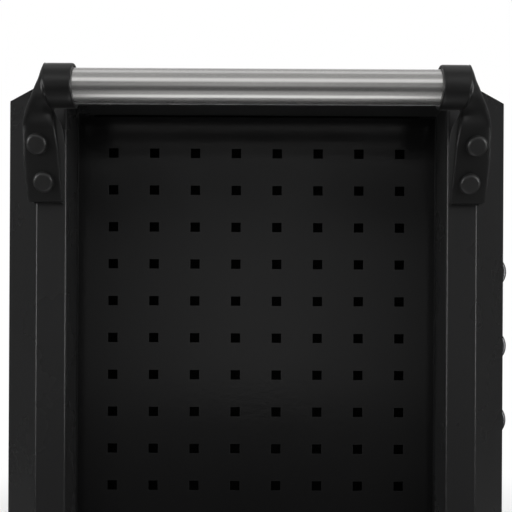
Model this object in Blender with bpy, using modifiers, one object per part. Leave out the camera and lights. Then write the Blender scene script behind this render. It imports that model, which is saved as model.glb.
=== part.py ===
"""Rolling tool cabinet with a tubular side handle. Metres, +Z up, front towards -Y, handle on -X."""

import math

import bmesh
import bpy
from mathutils import Matrix, Vector

# Case of folded sheet, without handle, pulls and casters
CASE_WIDTH = 0.680
CASE_DEPTH = 0.467
HEADER_HEIGHT = 0.118
BASE_HEIGHT = 0.042
SHEET = 0.0012
BEND_RADIUS = 0.0012
SEAT_GAP = 0.0003

# Corner posts: sloping corner face, flat side face, return wall into the side recess, front face and jamb
CHAMFER_WIDE = 0.0466
CHAMFER_DEEP = 0.0387
SIDE_FLAT = 0.027
RECESS_DEPTH = 0.037
PANEL_LIP = 0.015
POST_FACE = 0.0214
JAMB_DEPTH = 0.030

# Perforated side panels
HOLE_COLUMNS = 8
HOLE_PITCH = 0.0381
ROW_PITCH = 0.0344
HOLE_SIDE = 0.0088
FIRST_ROW = 0.0505
PANEL_GAP = 0.002

# Top with tray and mat
TOP_RAIL = 0.015
TRAY_DEPTH = 0.040
TRAY_SIDE_CLEAR = 0.0023
TRAY_END_CLEAR = 0.006
MAT_THICKNESS = 0.003
MAT_GAP = 0.002

# Base pan
SILL_PAST_RACK = 0.004

# Back panel and header returns
BACK_FLANGE = 0.015
HEADER_RETURN = 0.018

# Lock in the header
LOCK_FROM_SIDE = 0.130
LOCK_BELOW_TOP = 0.072
LOCK_RADIUS = 0.0085
LOCK_FLANGE = 0.0115
LOCK_LENGTH = 0.024
CAM_REACH = 0.026

# Drawers
SMALL_PITCH = 0.075
LARGE_PITCH = 0.150
FRONT_THICKNESS = 0.018
FRONT_GAP = 0.004
FRONT_SIDE_GAP = 0.002
TRAY_WALL = 0.001
TRAY_LIFT = 0.008
TRAY_HEADROOM = 0.011
TRAY_BACK_GAP = 0.032

# Slides: rack lips in the case, middle member, runner on the drawer
SLIDE_RISE = 0.034
SLIDE_HALF_HEIGHT = 0.0225
SLIDE_THICKNESS = 0.0124
SLIDE_REACH = 0.0092
SLIDE_LIP = 0.0012
SLIDE_PLAY = 0.0004
RACK_START = 0.022
RACK_BACK = 0.025
SLIDE_SHORT = 0.020

# Pulls
PULL_LENGTH = 0.480
PULL_REACH = 0.020
PULL_HALF_HEIGHT = 0.019
PULL_WALL = 0.002
PULL_CAP = 0.004
PULL_DROP = 0.038

# Side handle
TUBE_RADIUS = 0.0145
TUBE_WALL = 0.0016
TUBE_STEPS = 24
HANDLE_OUT = 0.047
HANDLE_DROP = 0.0134
COLLAR_RADIUS = 0.018
COLLAR_LENGTH = 0.021
BORE_DEPTH = 0.016
ARM_SETBACK = 0.0645
FOOT_DROP = 0.105
FOOT_THICKNESS = 0.0085
FACE_SLOPE = 0.40
BOLT_HEAD_RADIUS = 0.009
BOLT_HEAD_RISE = 0.0045
BOLT_SHANK_RADIUS = 0.003
NUT_RADIUS = 0.0055
UPPER_BOLT_DROP = 0.057
UPPER_BOLT_OFFSET = 0.0172
LOWER_BOLT_DROP = 0.087
LOWER_BOLT_OFFSET = 0.0146

# Casters
CASTER_HEIGHT = 0.155
WHEEL_RADIUS = 0.0625
WHEEL_WIDTH = 0.032
WHEEL_STEPS = 20
HUB_RADIUS = 0.016
AXLE_RADIUS = 0.005
AXLE_HEAD_RADIUS = 0.0085
AXLE_HEAD = 0.005
WHEEL_GAP = 0.002
LEG_SHEET = 0.003
PLATE_LENGTH = 0.100
PLATE_WIDTH = 0.080
PLATE_SHEET = 0.003
CASTER_FROM_SIDE = 0.080
CASTER_FROM_FRONT = 0.066
TRAIL = 0.035
CROWN_SHEET = 0.004
RACE_HEIGHT = 0.010
RACE_RADIUS = 0.028
KINGPIN_RADIUS = 0.006
BOSS_RADIUS = 0.014

# Brake pedals on the swivel casters
PEDAL_OUT = 0.048
PEDAL_UP = 0.064
PEDAL_WIDTH = 0.030
PEDAL_PIN = 0.004
PEDAL_PRESS = math.radians(18)
SHOE_GAP = 0.0006

# Outlines are filled in millimetres, because the fill merges points that are close in metres.
FILL_UNIT = 0.001

PITCHES = [SMALL_PITCH] * 2 + [LARGE_PITCH] * 3
CASE_HEIGHT = HEADER_HEIGHT + sum(PITCHES) + BASE_HEIGHT
CASE_BOTTOM = CASTER_HEIGHT
CASE_TOP = CASE_BOTTOM + CASE_HEIGHT
BASE_TOP = CASE_BOTTOM + BASE_HEIGHT
HALF_WIDTH = CASE_WIDTH / 2
HALF_DEPTH = CASE_DEPTH / 2
JAMB_IN = CHAMFER_WIDE + POST_FACE
RETURN_BACK = CHAMFER_DEEP + SIDE_FLAT
LIP_IN = RECESS_DEPTH + SHEET + SEAT_GAP
RACK_IN = JAMB_IN + SEAT_GAP
LEG_INNER = WHEEL_WIDTH / 2 + WHEEL_GAP
LEG_OUTER = LEG_INNER + LEG_SHEET
HANDLE_REACH = HANDLE_OUT + COLLAR_RADIUS
ARM_INNER = HALF_DEPTH - ARM_SETBACK
COLLAR_END = ARM_INNER
COLLAR_MOUTH = COLLAR_END - COLLAR_LENGTH
RACK_LENGTH = CASE_DEPTH - RACK_START - RACK_BACK
SLIDE_LENGTH = RACK_LENGTH - SLIDE_SHORT

for old in list(bpy.data.objects):
    bpy.data.objects.remove(old)

parts = bpy.data.collections.new("rolling_tool_cabinet")
tools = bpy.data.collections.new("cutting_bodies")
for group in (parts, tools):
    bpy.context.scene.collection.children.link(group)


def finish(name, colour, metallic, roughness):
    made = bpy.data.materials.new(name)
    made.use_nodes = True
    surface = made.node_tree.nodes["Principled BSDF"]
    surface.inputs["Base Color"].default_value = (*colour, 1)
    surface.inputs["Metallic"].default_value = metallic
    surface.inputs["Roughness"].default_value = roughness
    return made


POWDER = finish("black_powder_coat", (0.016, 0.016, 0.017), 0, 0.45)
PANEL = finish("panel_powder_coat", (0.012, 0.012, 0.013), 0, 0.4)
PLASTIC = finish("black_moulding", (0.012, 0.012, 0.012), 0, 0.5)
STEEL = finish("satin_steel", (0.55, 0.55, 0.56), 1, 0.3)
ZINC = finish("zinc_plated_steel", (0.5, 0.5, 0.51), 1, 0.4)
GREY = finish("grey_pull", (0.2, 0.2, 0.21), 0.6, 0.4)
RUBBER = finish("rubber", (0.02, 0.02, 0.02), 0, 0.8)


def empty(name, place, parent):
    made = bpy.data.objects.new(name, None)
    made.location = place
    made.parent = parent
    parts.objects.link(made)
    return made


def add(name, mesh, look, parent, place=(0, 0, 0)):
    """One named sub-part at its place under its parent."""
    made = bpy.data.objects.new(name, mesh)
    made.location = place
    made.parent = parent
    mesh.materials.clear()
    mesh.materials.append(look)
    parts.objects.link(made)
    return made


def settled(mesh):
    """Welds a closed mesh and turns its faces outward."""
    work = bmesh.new()
    work.from_mesh(mesh)
    bmesh.ops.remove_doubles(work, verts=work.verts, dist=1e-6)
    bmesh.ops.recalc_face_normals(work, faces=work.faces)
    work.to_mesh(mesh)
    work.free()
    return mesh


def prism(loops, low, high, axis):
    """Flat outlines filled as a 2D curve and extruded along an axis; further loops are holes.

    The outline's two coordinates are X and Y for axis Z, X and Z for axis Y, Y and Z for axis X.
    """
    curve = bpy.data.curves.new("outline", "CURVE")
    curve.dimensions = "2D"
    curve.fill_mode = "BOTH"
    curve.extrude = (high - low) / 2 / FILL_UNIT
    for loop in loops:
        spline = curve.splines.new("POLY")
        spline.points.add(len(loop) - 1)
        for point, (a, b) in zip(spline.points, loop):
            point.co = (a / FILL_UNIT, b / FILL_UNIT, 0, 1)
        spline.use_cyclic_u = True
    drawn = bpy.data.objects.new("outline", curve)
    tools.objects.link(drawn)
    mesh = bpy.data.meshes.new_from_object(drawn)
    bpy.data.objects.remove(drawn)
    bpy.data.curves.remove(curve)
    middle = (low + high) / 2
    turn = {
        "Z": Matrix(((1, 0, 0, 0), (0, 1, 0, 0), (0, 0, 1, middle), (0, 0, 0, 1))),
        "Y": Matrix(((1, 0, 0, 0), (0, 0, -1, middle), (0, 1, 0, 0), (0, 0, 0, 1))),
        "X": Matrix(((0, 0, 1, middle), (1, 0, 0, 0), (0, 1, 0, 0), (0, 0, 0, 1))),
    }[axis]
    mesh.transform(turn @ Matrix.Diagonal((FILL_UNIT, FILL_UNIT, FILL_UNIT, 1)))
    return settled(mesh)


def turned(profile, steps, axis):
    """A closed (radius, height) profile swept once round an axis by the Screw modifier."""
    mesh = bpy.data.meshes.new("turned")
    edges = [(i, (i + 1) % len(profile)) for i in range(len(profile))]
    if profile[0][0] == 0 and profile[-1][0] == 0:
        edges.pop()
    mesh.from_pydata([(r, 0, h) for r, h in profile], edges, [])
    spun = bpy.data.objects.new("turned", mesh)
    screw = spun.modifiers.new("Screw", "SCREW")
    screw.axis = "Z"
    screw.angle = 2 * math.pi
    screw.steps = steps
    screw.render_steps = steps
    screw.use_merge_vertices = True
    screw.merge_threshold = 1e-5
    made = baked(spun)
    # A half step of turn puts a flat at the bottom, so that a turned piece can stand on it.
    made.transform(Matrix.Rotation(math.pi / steps, 4, "Z"))
    if axis == "X":
        made.transform(Matrix.Rotation(math.pi / 2, 4, "Y"))
    if axis == "Y":
        made.transform(Matrix.Rotation(-math.pi / 2, 4, "X"))
    return settled(made)


def baked(made):
    """The mesh that an object's modifiers make; the object itself is removed."""
    tools.objects.link(made)
    bpy.context.view_layer.update()
    graph = bpy.context.evaluated_depsgraph_get()
    mesh = bpy.data.meshes.new_from_object(made.evaluated_get(graph))
    bpy.data.objects.remove(made)
    return mesh


def combined(mesh, *steps):
    """A mesh after Boolean steps, each an operation and the mesh it works with."""
    made = bpy.data.objects.new("combined", mesh)
    helpers = []
    for operation, other in steps:
        helper = bpy.data.objects.new("helper", other)
        helper.hide_render = True
        helper.display_type = "WIRE"
        tools.objects.link(helper)
        helpers.append(helper)
        step = made.modifiers.new(operation, "BOOLEAN")
        step.operation = operation
        step.solver = "EXACT"
        step.object = helper
    result = baked(made)
    for helper in helpers:
        bpy.data.objects.remove(helper)
    return settled(result)


def moved(mesh, x, y, z):
    mesh.transform(Matrix.Translation((x, y, z)))
    return mesh


def box(x0, x1, y0, y1, z0, z1):
    return prism([[(x0, y0), (x1, y0), (x1, y1), (x0, y1)]], z0, z1, "Z")


def rod(radius, low, high, steps, axis):
    return turned([(0, low), (radius, low), (radius, high), (0, high)], steps, axis)


def circle(a, b, radius, steps, start=0.0):
    turn = [start + 2 * math.pi * i / steps for i in range(steps)]
    return [(a + radius * math.cos(t), b + radius * math.sin(t)) for t in turn]


def rounded(path, radius_of, steps=2):
    """An open line with each inner corner replaced by an arc; radius_of gets the turn's sign."""
    made = [path[0]]
    for before, corner, after in zip(path, path[1:], path[2:]):
        a, p, b = Vector(before), Vector(corner), Vector(after)
        along = (p - a).normalized()
        onward = (b - p).normalized()
        bend = math.atan2(along.x * onward.y - along.y * onward.x, along.dot(onward))
        radius = radius_of(bend)
        reach = radius * math.tan(abs(bend) / 2)
        start = p - along * reach
        side = Vector((-along.y, along.x)) * math.copysign(1, bend)
        centre = start + side * radius
        for i in range(steps + 1):
            turn = bend * i / steps
            spoke = start - centre
            c, s = math.cos(turn), math.sin(turn)
            made.append((centre.x + c * spoke.x - s * spoke.y, centre.y + s * spoke.x + c * spoke.y))
    made.append(path[-1])
    return made


def beside(path, distance):
    """The line that runs to the left of an open path at a distance, with mitred corners."""
    ways = [(Vector(b) - Vector(a)).normalized() for a, b in zip(path, path[1:])]
    sides = [Vector((-w.y, w.x)) for w in ways]
    made = [Vector(path[0]) + sides[0] * distance]
    for point, one, two in zip(path[1:], sides, sides[1:]):
        middle = (one + two).normalized()
        made.append(Vector(point) + middle * (distance / middle.dot(one)))
    made.append(Vector(path[-1]) + sides[-1] * distance)
    return [tuple(p) for p in made]


def folded(path):
    """Outline of sheet folded along an open line; the sheet's thickness lies to the line's left."""
    shown = rounded(path, lambda bend: BEND_RADIUS + (SHEET if bend > 0 else 0))
    behind = rounded(beside(path, SHEET), lambda bend: BEND_RADIUS + (0 if bend > 0 else SHEET))
    return shown + behind[::-1]


def octagon(inset):
    """The case's plan, drawn in by an inset: a rectangle with sloping corners."""
    x, y = HALF_WIDTH - inset, HALF_DEPTH - inset
    slope = math.hypot(CHAMFER_WIDE, CHAMFER_DEEP)
    line = (HALF_WIDTH - CHAMFER_WIDE) * CHAMFER_DEEP + HALF_DEPTH * CHAMFER_WIDE - inset * slope
    cut_x = (line - y * CHAMFER_WIDE) / CHAMFER_DEEP
    cut_y = (line - x * CHAMFER_DEEP) / CHAMFER_WIDE
    return [
        (cut_x, -y),
        (x, -cut_y),
        (x, cut_y),
        (cut_x, y),
        (-cut_x, y),
        (-x, cut_y),
        (-x, -cut_y),
        (-cut_x, -y),
    ]


def open_box(x0, x1, y0, y1, z0, z1, wall, way=(0, 0, 1)):
    """A tray of even sheet, open one way: five faces with Solidify towards the inside."""
    mesh = bpy.data.meshes.new("tray")
    work = bmesh.new()
    bmesh.ops.create_cube(work, size=1)
    lid = [face for face in work.faces if face.normal.dot(Vector(way)) > 0.5]
    bmesh.ops.delete(work, geom=lid, context="FACES")
    work.to_mesh(mesh)
    work.free()
    size = Matrix.Diagonal((x1 - x0, y1 - y0, z1 - z0, 1))
    mesh.transform(Matrix.Translation(((x0 + x1) / 2, (y0 + y1) / 2, (z0 + z1) / 2)) @ size)
    made = bpy.data.objects.new("tray", mesh)
    shell = made.modifiers.new("Solidify", "SOLIDIFY")
    shell.thickness = wall
    shell.offset = -1
    shell.use_even_offset = True
    return settled(baked(made))


def corner_posts(case):
    """Four posts, each one folded strip: panel lip, return wall, side, slope, front, jamb."""
    low, high = BASE_TOP + SEAT_GAP, CASE_TOP - SHEET - SEAT_GAP
    path = [
        (LIP_IN, RETURN_BACK + PANEL_LIP),
        (LIP_IN, RETURN_BACK),
        (0, RETURN_BACK),
        (0, CHAMFER_DEEP),
        (CHAMFER_WIDE, 0),
        (JAMB_IN, 0),
        (JAMB_IN, JAMB_DEPTH),
    ]
    outline = folded(path)
    for end, sy in (("front", -1), ("rear", 1)):
        for hand, sx in (("left", -1), ("right", 1)):
            plan = [(sx * (HALF_WIDTH - u), sy * (HALF_DEPTH - v)) for u, v in outline]
            post = prism([plan], low, high, "Z")
            if sx < 0:
                holes = []
                for drop, offset in bolt_places():
                    hole = rod(BOLT_SHANK_RADIUS + SEAT_GAP, -SHEET * 3, SHEET * 3, 8, "X")
                    moved(hole, -HALF_WIDTH, sy * (ARM_INNER + offset), CASE_TOP - drop)
                    holes.append(("DIFFERENCE", hole))
                post = combined(post, *holes)
            add(f"post_{end}_{hand}", post, POWDER, case)


def bolt_places():
    return ((UPPER_BOLT_DROP, UPPER_BOLT_OFFSET), (LOWER_BOLT_DROP, LOWER_BOLT_OFFSET))


def pegboards(case):
    """Two flat sheets on the posts' lips, with square holes in rows and columns."""
    half = HALF_DEPTH - RETURN_BACK - PANEL_GAP
    low, high = BASE_TOP + PANEL_GAP, CASE_TOP - TOP_RAIL - PANEL_GAP
    first = CASE_TOP - FIRST_ROW
    rows = int((first - low - HOLE_PITCH * 0.6) / ROW_PITCH) + 1
    loops = [[(-half, low), (half, low), (half, high), (-half, high)]]
    reach = HOLE_SIDE / 2
    for row in range(rows):
        for column in range(HOLE_COLUMNS):
            y = (column - (HOLE_COLUMNS - 1) / 2) * HOLE_PITCH
            z = first - row * ROW_PITCH
            left, right, under, over = y - reach, y + reach, z - reach, z + reach
            loops.append([(left, under), (right, under), (right, over), (left, over)])
    for hand, sx in (("left", -1), ("right", 1)):
        inner, outer = HALF_WIDTH - RECESS_DEPTH - SHEET, HALF_WIDTH - RECESS_DEPTH
        sheet = prism(loops, min(sx * inner, sx * outer), max(sx * inner, sx * outer), "X")
        add(f"pegboard_{hand}", sheet, PANEL, case)


def top(case):
    """Octagonal rim with a sunken tray, a side rail over each recess, and a loose mat."""
    x = HALF_WIDTH - RACK_IN - SHEET * 2 - TRAY_SIDE_CLEAR
    y = HALF_DEPTH - JAMB_DEPTH - TRAY_END_CLEAR
    floor = CASE_TOP - TRAY_DEPTH
    rim = prism([octagon(0), [(-x, -y), (x, -y), (x, y), (-x, y)]], CASE_TOP - SHEET, CASE_TOP, "Z")
    tray = open_box(-x - SHEET, x + SHEET, -y - SHEET, y + SHEET, floor - SHEET, CASE_TOP - SHEET / 2, SHEET)
    steps = [("UNION", tray)]
    reach = HALF_DEPTH - RETURN_BACK - SEAT_GAP
    under = CASE_TOP - TOP_RAIL
    for sx in (-1, 1):
        face = [
            (0, under),
            (LIP_IN - BEND_RADIUS, under),
            (LIP_IN - BEND_RADIUS, under + SHEET),
            (SHEET, under + SHEET),
            (SHEET, CASE_TOP - SHEET / 2),
            (0, CASE_TOP - SHEET / 2),
        ]
        rail = prism([[(sx * (HALF_WIDTH - u), z) for u, z in face]], -reach, reach, "Y")
        steps.append(("UNION", rail))
    add("top_tray", combined(rim, *steps), POWDER, case)
    mat = box(
        -x + MAT_GAP,
        x - MAT_GAP,
        -y + MAT_GAP,
        y - MAT_GAP,
        floor + SEAT_GAP,
        floor + SEAT_GAP + MAT_THICKNESS,
    )
    add("top_mat", mat, RUBBER, case)


def base(case):
    """Octagonal pan: floor, wall and a top return that carries the posts and slide racks."""
    rings = [(octagon(0), CASE_BOTTOM), (octagon(0), BASE_TOP), (octagon(RACK_IN + SILL_PAST_RACK), BASE_TOP)]
    mesh = bpy.data.meshes.new("base")
    work = bmesh.new()
    rows = [[work.verts.new((a, b, z)) for a, b in ring] for ring, z in rings]
    work.faces.new(rows[0][::-1])
    for lower, upper in zip(rows, rows[1:]):
        for i in range(8):
            j = (i + 1) % 8
            work.faces.new((lower[i], lower[j], upper[j], upper[i]))
    work.to_mesh(mesh)
    work.free()
    pan = bpy.data.objects.new("base", mesh)
    shell = pan.modifiers.new("Solidify", "SOLIDIFY")
    shell.thickness = SHEET
    shell.offset = -1
    shell.use_even_offset = True
    add("base_pan", settled(baked(pan)), POWDER, case)


def back_and_header(case):
    edge = HALF_WIDTH - JAMB_IN - SEAT_GAP
    rear = [
        (-edge, HALF_DEPTH - BACK_FLANGE),
        (-edge, HALF_DEPTH),
        (edge, HALF_DEPTH),
        (edge, HALF_DEPTH - BACK_FLANGE),
    ]
    high = CASE_TOP - SHEET - SEAT_GAP
    add("back_panel", prism([folded(rear[::-1])], BASE_TOP + SEAT_GAP, high, "Z"), POWDER, case)
    bottom = CASE_TOP - HEADER_HEIGHT + FRONT_GAP / 2
    front = [
        (-HALF_DEPTH + HEADER_RETURN, high),
        (-HALF_DEPTH, high),
        (-HALF_DEPTH, bottom),
        (-HALF_DEPTH + HEADER_RETURN, bottom),
    ]
    header = prism([folded(front)], -edge, edge, "X")
    hole = rod(LOCK_RADIUS + SEAT_GAP, -SHEET * 3, SHEET * 3, 14, "Y")
    moved(hole, HALF_WIDTH - LOCK_FROM_SIDE, -HALF_DEPTH, CASE_TOP - LOCK_BELOW_TOP)
    add("header_panel", combined(header, ("DIFFERENCE", hole)), POWDER, case)


def lock(case):
    """Key barrel with its cam, turning in the header."""
    flange = 0.0025
    axis = (HALF_WIDTH - LOCK_FROM_SIDE, -HALF_DEPTH, CASE_TOP - LOCK_BELOW_TOP)
    profile = [
        (0, -SEAT_GAP - flange),
        (LOCK_FLANGE - 0.001, -SEAT_GAP - flange),
        (LOCK_FLANGE, -SEAT_GAP - flange + 0.001),
        (LOCK_FLANGE, -SEAT_GAP),
        (LOCK_RADIUS, -SEAT_GAP),
        (LOCK_RADIUS, LOCK_LENGTH),
        (0, LOCK_LENGTH),
    ]
    barrel = turned(profile, 14, "Y")
    width, rear = LOCK_RADIUS * 0.6, LOCK_RADIUS * 0.5
    cam = prism(
        [[(-width, rear), (-width, -CAM_REACH), (width, -CAM_REACH), (width, rear)]],
        LOCK_LENGTH - 0.001,
        LOCK_LENGTH + 0.002,
        "Y",
    )
    keyway = box(-0.0006, 0.0006, -0.01, 0.0, -0.0035, 0.0035)
    add("lock_barrel", combined(barrel, ("UNION", cam), ("DIFFERENCE", keyway)), STEEL, case, axis)


def bay_bottoms():
    level, found = CASE_TOP - HEADER_HEIGHT, []
    for pitch in PITCHES:
        level -= pitch
        found.append(level)
    return found


def slide_racks(case):
    """Inner side sheets whose lips form the outer channel of every slide."""
    levels = [bottom + SLIDE_RISE for bottom in bay_bottoms()]
    wall, tip = RACK_IN + SHEET, RACK_IN + SLIDE_REACH
    low, high = BASE_TOP + SEAT_GAP, CASE_TOP - SHEET - SEAT_GAP
    line = [(RACK_IN, high), (RACK_IN, low), (wall, low)]
    for level in levels[::-1]:
        for start, end in (
            (level - SLIDE_HALF_HEIGHT, level - SLIDE_HALF_HEIGHT + SLIDE_LIP),
            (level + SLIDE_HALF_HEIGHT - SLIDE_LIP, level + SLIDE_HALF_HEIGHT),
        ):
            line += [(wall, start), (tip, start), (tip, end), (wall, end)]
    line.append((wall, high))
    start = -HALF_DEPTH + RACK_START
    for hand, sx in (("left", -1), ("right", 1)):
        outline = [(sx * (HALF_WIDTH - u), z) for u, z in line]
        add(f"slide_rack_{hand}", prism([outline], start, start + RACK_LENGTH, "Y"), ZINC, case)


def slide_members(sx):
    """Outlines across one slide, about its own level: the middle member and the drawer's runner."""
    outer = SLIDE_HALF_HEIGHT - SLIDE_LIP - SLIDE_PLAY
    inner = outer - SLIDE_LIP
    web = RACK_IN + SHEET + SLIDE_PLAY
    tip = RACK_IN + SLIDE_REACH
    middle = [
        (tip, outer),
        (web, outer),
        (web, -outer),
        (tip, -outer),
        (tip, -inner),
        (web + SLIDE_LIP, -inner),
        (web + SLIDE_LIP, inner),
        (tip, inner),
    ]
    near = web + SLIDE_LIP + SLIDE_PLAY
    far = RACK_IN + SLIDE_THICKNESS + TRAY_WALL / 2
    half = inner - SLIDE_PLAY
    runner = [(near, half), (near, -half), (far, -half), (far, half)]
    return [[(sx * (HALF_WIDTH - u), z) for u, z in outline] for outline in (middle, runner)]


def drawer_mesh(pitch):
    """Folded front pan, tray and the two runners of one drawer as a single welded body."""
    side = HALF_WIDTH - JAMB_IN - FRONT_SIDE_GAP
    front = open_box(
        -side,
        side,
        -HALF_DEPTH,
        -HALF_DEPTH + FRONT_THICKNESS,
        FRONT_GAP / 2,
        pitch - FRONT_GAP / 2,
        SHEET,
        (0, 1, 0),
    )
    half = HALF_WIDTH - RACK_IN - SLIDE_THICKNESS
    height = pitch - FRONT_GAP - TRAY_LIFT - TRAY_HEADROOM
    tray = open_box(
        -half,
        half,
        -HALF_DEPTH + SHEET / 2,
        HALF_DEPTH - TRAY_BACK_GAP,
        TRAY_LIFT,
        TRAY_LIFT + height,
        TRAY_WALL,
    )
    start = -HALF_DEPTH + RACK_START
    steps = [("UNION", tray)]
    for sx in (-1, 1):
        outline = [(x, z + SLIDE_RISE) for x, z in slide_members(sx)[1]]
        steps.append(("UNION", prism([outline], start, start + SLIDE_LENGTH, "Y")))
    return combined(front, *steps)


def pull_mesh():
    """Hollow grip bar, open below for the fingers, with a closed D-shaped cap at each end."""
    back = -HALF_DEPTH - SEAT_GAP
    reach, half = PULL_REACH, PULL_HALF_HEIGHT

    def bow(inset, start, end, count):
        turn = [math.radians(start + (end - start) * i / count) for i in range(count + 1)]
        return [((reach - inset) * math.cos(t), (half - inset) * math.sin(t)) for t in turn]

    outer = bow(0, 90, -38, 6)
    inner = bow(PULL_WALL, -38, 78, 4)
    grip = outer + inner + [(PULL_WALL, inner[-1][1]), (PULL_WALL, -half), (0, -half)]
    length = PULL_LENGTH / 2
    bar = prism([[(back - q, z) for q, z in grip]], -length, length, "X")
    cap = [(back - q, z) for q, z in bow(0, 90, -90, 8)]
    ends = [
        ("UNION", prism([cap], -length - PULL_CAP / 2, -length + PULL_CAP / 2, "X")),
        ("UNION", prism([cap], length - PULL_CAP / 2, length + PULL_CAP / 2, "X")),
    ]
    return combined(bar, *ends)


def drawers(case):
    meshes = {pitch: drawer_mesh(pitch) for pitch in sorted(set(PITCHES))}
    pull = pull_mesh()
    start = -HALF_DEPTH + RACK_START
    middles = {
        hand: prism([slide_members(sx)[0]], start, start + SLIDE_LENGTH, "Y")
        for hand, sx in (("left", -1), ("right", 1))
    }
    for number, (pitch, bottom) in enumerate(zip(PITCHES, bay_bottoms()), 1):
        box_frame = empty(f"drawer_{number}_frame", (0, 0, bottom), case)
        add(f"drawer_{number}", meshes[pitch], POWDER, box_frame)
        add(f"drawer_{number}_pull", pull, GREY, box_frame, (0, 0, pitch - PULL_DROP))
        for hand, mesh in middles.items():
            add(f"drawer_{number}_slide_{hand}", mesh, ZINC, case, (0, 0, bottom + SLIDE_RISE))


def bracket_sections():
    """Sections of the bracket from the collar's mouth to the foot's lower edge.

    Each is (inner corner y and z, turn of the section, width, back, front, squareness), in a frame with y
    outward from the handle's middle, z from the case's top, and back and front from the side's face.
    """
    axis = -HANDLE_DROP
    low = axis - COLLAR_RADIUS
    wide = COLLAR_RADIUS * 2
    near, far = HANDLE_OUT - COLLAR_RADIUS, HANDLE_OUT + COLLAR_RADIUS

    def face(z):
        return SEAT_GAP + FOOT_THICKNESS + (z + FOOT_DROP) * FACE_SLOPE

    bend = axis - 0.0300
    foot = -FOOT_DROP
    return [
        (COLLAR_MOUTH, low, 0, wide, near, far, 2),
        (COLLAR_END - 0.001, low, 0, wide, near, far, 2),
        (ARM_INNER + 0.0003, low - 0.0006, 28, wide * 0.76, near - 0.002, far - 0.003, 2.3),
        (ARM_INNER + 0.0006, low - 0.0014, 52, wide * 0.66, near - 0.006, far - 0.009, 2.7),
        (ARM_INNER + 0.0008, low - 0.0026, 73, wide * 0.63, near - 0.014, far - 0.019, 3.6),
        (ARM_INNER + 0.0008, low - 0.0046, 90, wide * 0.69, near - 0.022, face(low - 0.0046) + 0.004, 5),
        (ARM_INNER + 0.0006, bend, 90, wide * 0.752, SEAT_GAP, face(bend), 8),
        (ARM_INNER, -UPPER_BOLT_DROP, 90, wide * 0.838, SEAT_GAP, face(-UPPER_BOLT_DROP), 12),
        (ARM_INNER, -0.5 * (UPPER_BOLT_DROP + LOWER_BOLT_DROP), 90, wide * 0.872, SEAT_GAP, None, 12),
        (ARM_INNER, foot + 0.002, 90, wide * 0.85, SEAT_GAP, face(foot + 0.002), 12),
        (ARM_INNER + 0.001, foot, 90, wide * 0.805, SEAT_GAP, face(foot) - 0.0015, 12),
    ], face


def bracket_mesh(sy):
    """Moulded arm lofted from a round collar to a squared foot, bored for the tube and the bolts."""
    sections, face = bracket_sections()
    count = 16
    mesh = bpy.data.meshes.new("bracket")
    work = bmesh.new()
    rings = []
    for y, z, turn, width, back, front, square in sections:
        if front is None:
            front = face(z)
        across = Vector((math.sin(math.radians(turn)), math.cos(math.radians(turn))))
        middle = Vector((y, z)) + across * (width / 2)
        ring = []
        for i in range(count):
            angle = 2 * math.pi * (i + 0.5) / count
            c, s = math.cos(angle), math.sin(angle)
            a = math.copysign(abs(c) ** (2 / square), c) * width / 2
            b = math.copysign(abs(s) ** (2 / square), s) * (front - back) / 2 + (front + back) / 2
            p = middle + across * a
            ring.append(work.verts.new((-HALF_WIDTH - b, sy * p.x, CASE_TOP + p.y)))
        rings.append(ring)
    work.faces.new(rings[0])
    work.faces.new(rings[-1][::-1])
    for one, two in zip(rings, rings[1:]):
        for i in range(count):
            j = (i + 1) % count
            work.faces.new((one[i], two[i], two[j], one[j]))
    work.to_mesh(mesh)
    work.free()
    settled(mesh)
    ends = sorted((sy * (COLLAR_MOUTH - 0.002), sy * (COLLAR_MOUTH + BORE_DEPTH)))
    bore = rod(TUBE_RADIUS + SEAT_GAP, ends[0], ends[1], TUBE_STEPS, "Y")
    moved(bore, -HALF_WIDTH - HANDLE_OUT, 0, CASE_TOP - HANDLE_DROP)
    steps = [("DIFFERENCE", bore)]
    for drop, offset in bolt_places():
        hole = rod(BOLT_SHANK_RADIUS + SEAT_GAP, -HANDLE_REACH, HANDLE_REACH, 8, "X")
        moved(hole, -HALF_WIDTH, sy * (ARM_INNER + offset), CASE_TOP - drop)
        steps.append(("DIFFERENCE", hole))
    return combined(mesh, *steps)


def bolt_mesh(drop):
    """Domed head square to the bracket's sloping face, level shank, and the nut behind the post's sheet."""
    face = bracket_sections()[1]
    height = face(-drop)
    r, h = BOLT_HEAD_RADIUS, BOLT_HEAD_RISE
    dome = [(0, 0), (r, 0), (r, h * 0.55), (r * 0.93, h * 0.75), (r * 0.75, h * 0.9), (0, h)]
    head = turned(dome, 12, "X")
    head.transform(Matrix.Diagonal((-1, 1, 1, 1)))
    head.flip_normals()
    head.transform(Matrix.Rotation(-math.atan(FACE_SLOPE), 4, "Y"))
    moved(head, -height - SEAT_GAP * math.hypot(1, FACE_SLOPE), 0, 0)
    inner = SHEET + SEAT_GAP
    shank = rod(BOLT_SHANK_RADIUS, -height - h * 0.4, inner + NUT_RADIUS, 8, "X")
    nut = rod(NUT_RADIUS, inner, inner + NUT_RADIUS * 0.8, 6, "X")
    return combined(shank, ("UNION", head), ("UNION", nut))


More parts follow.
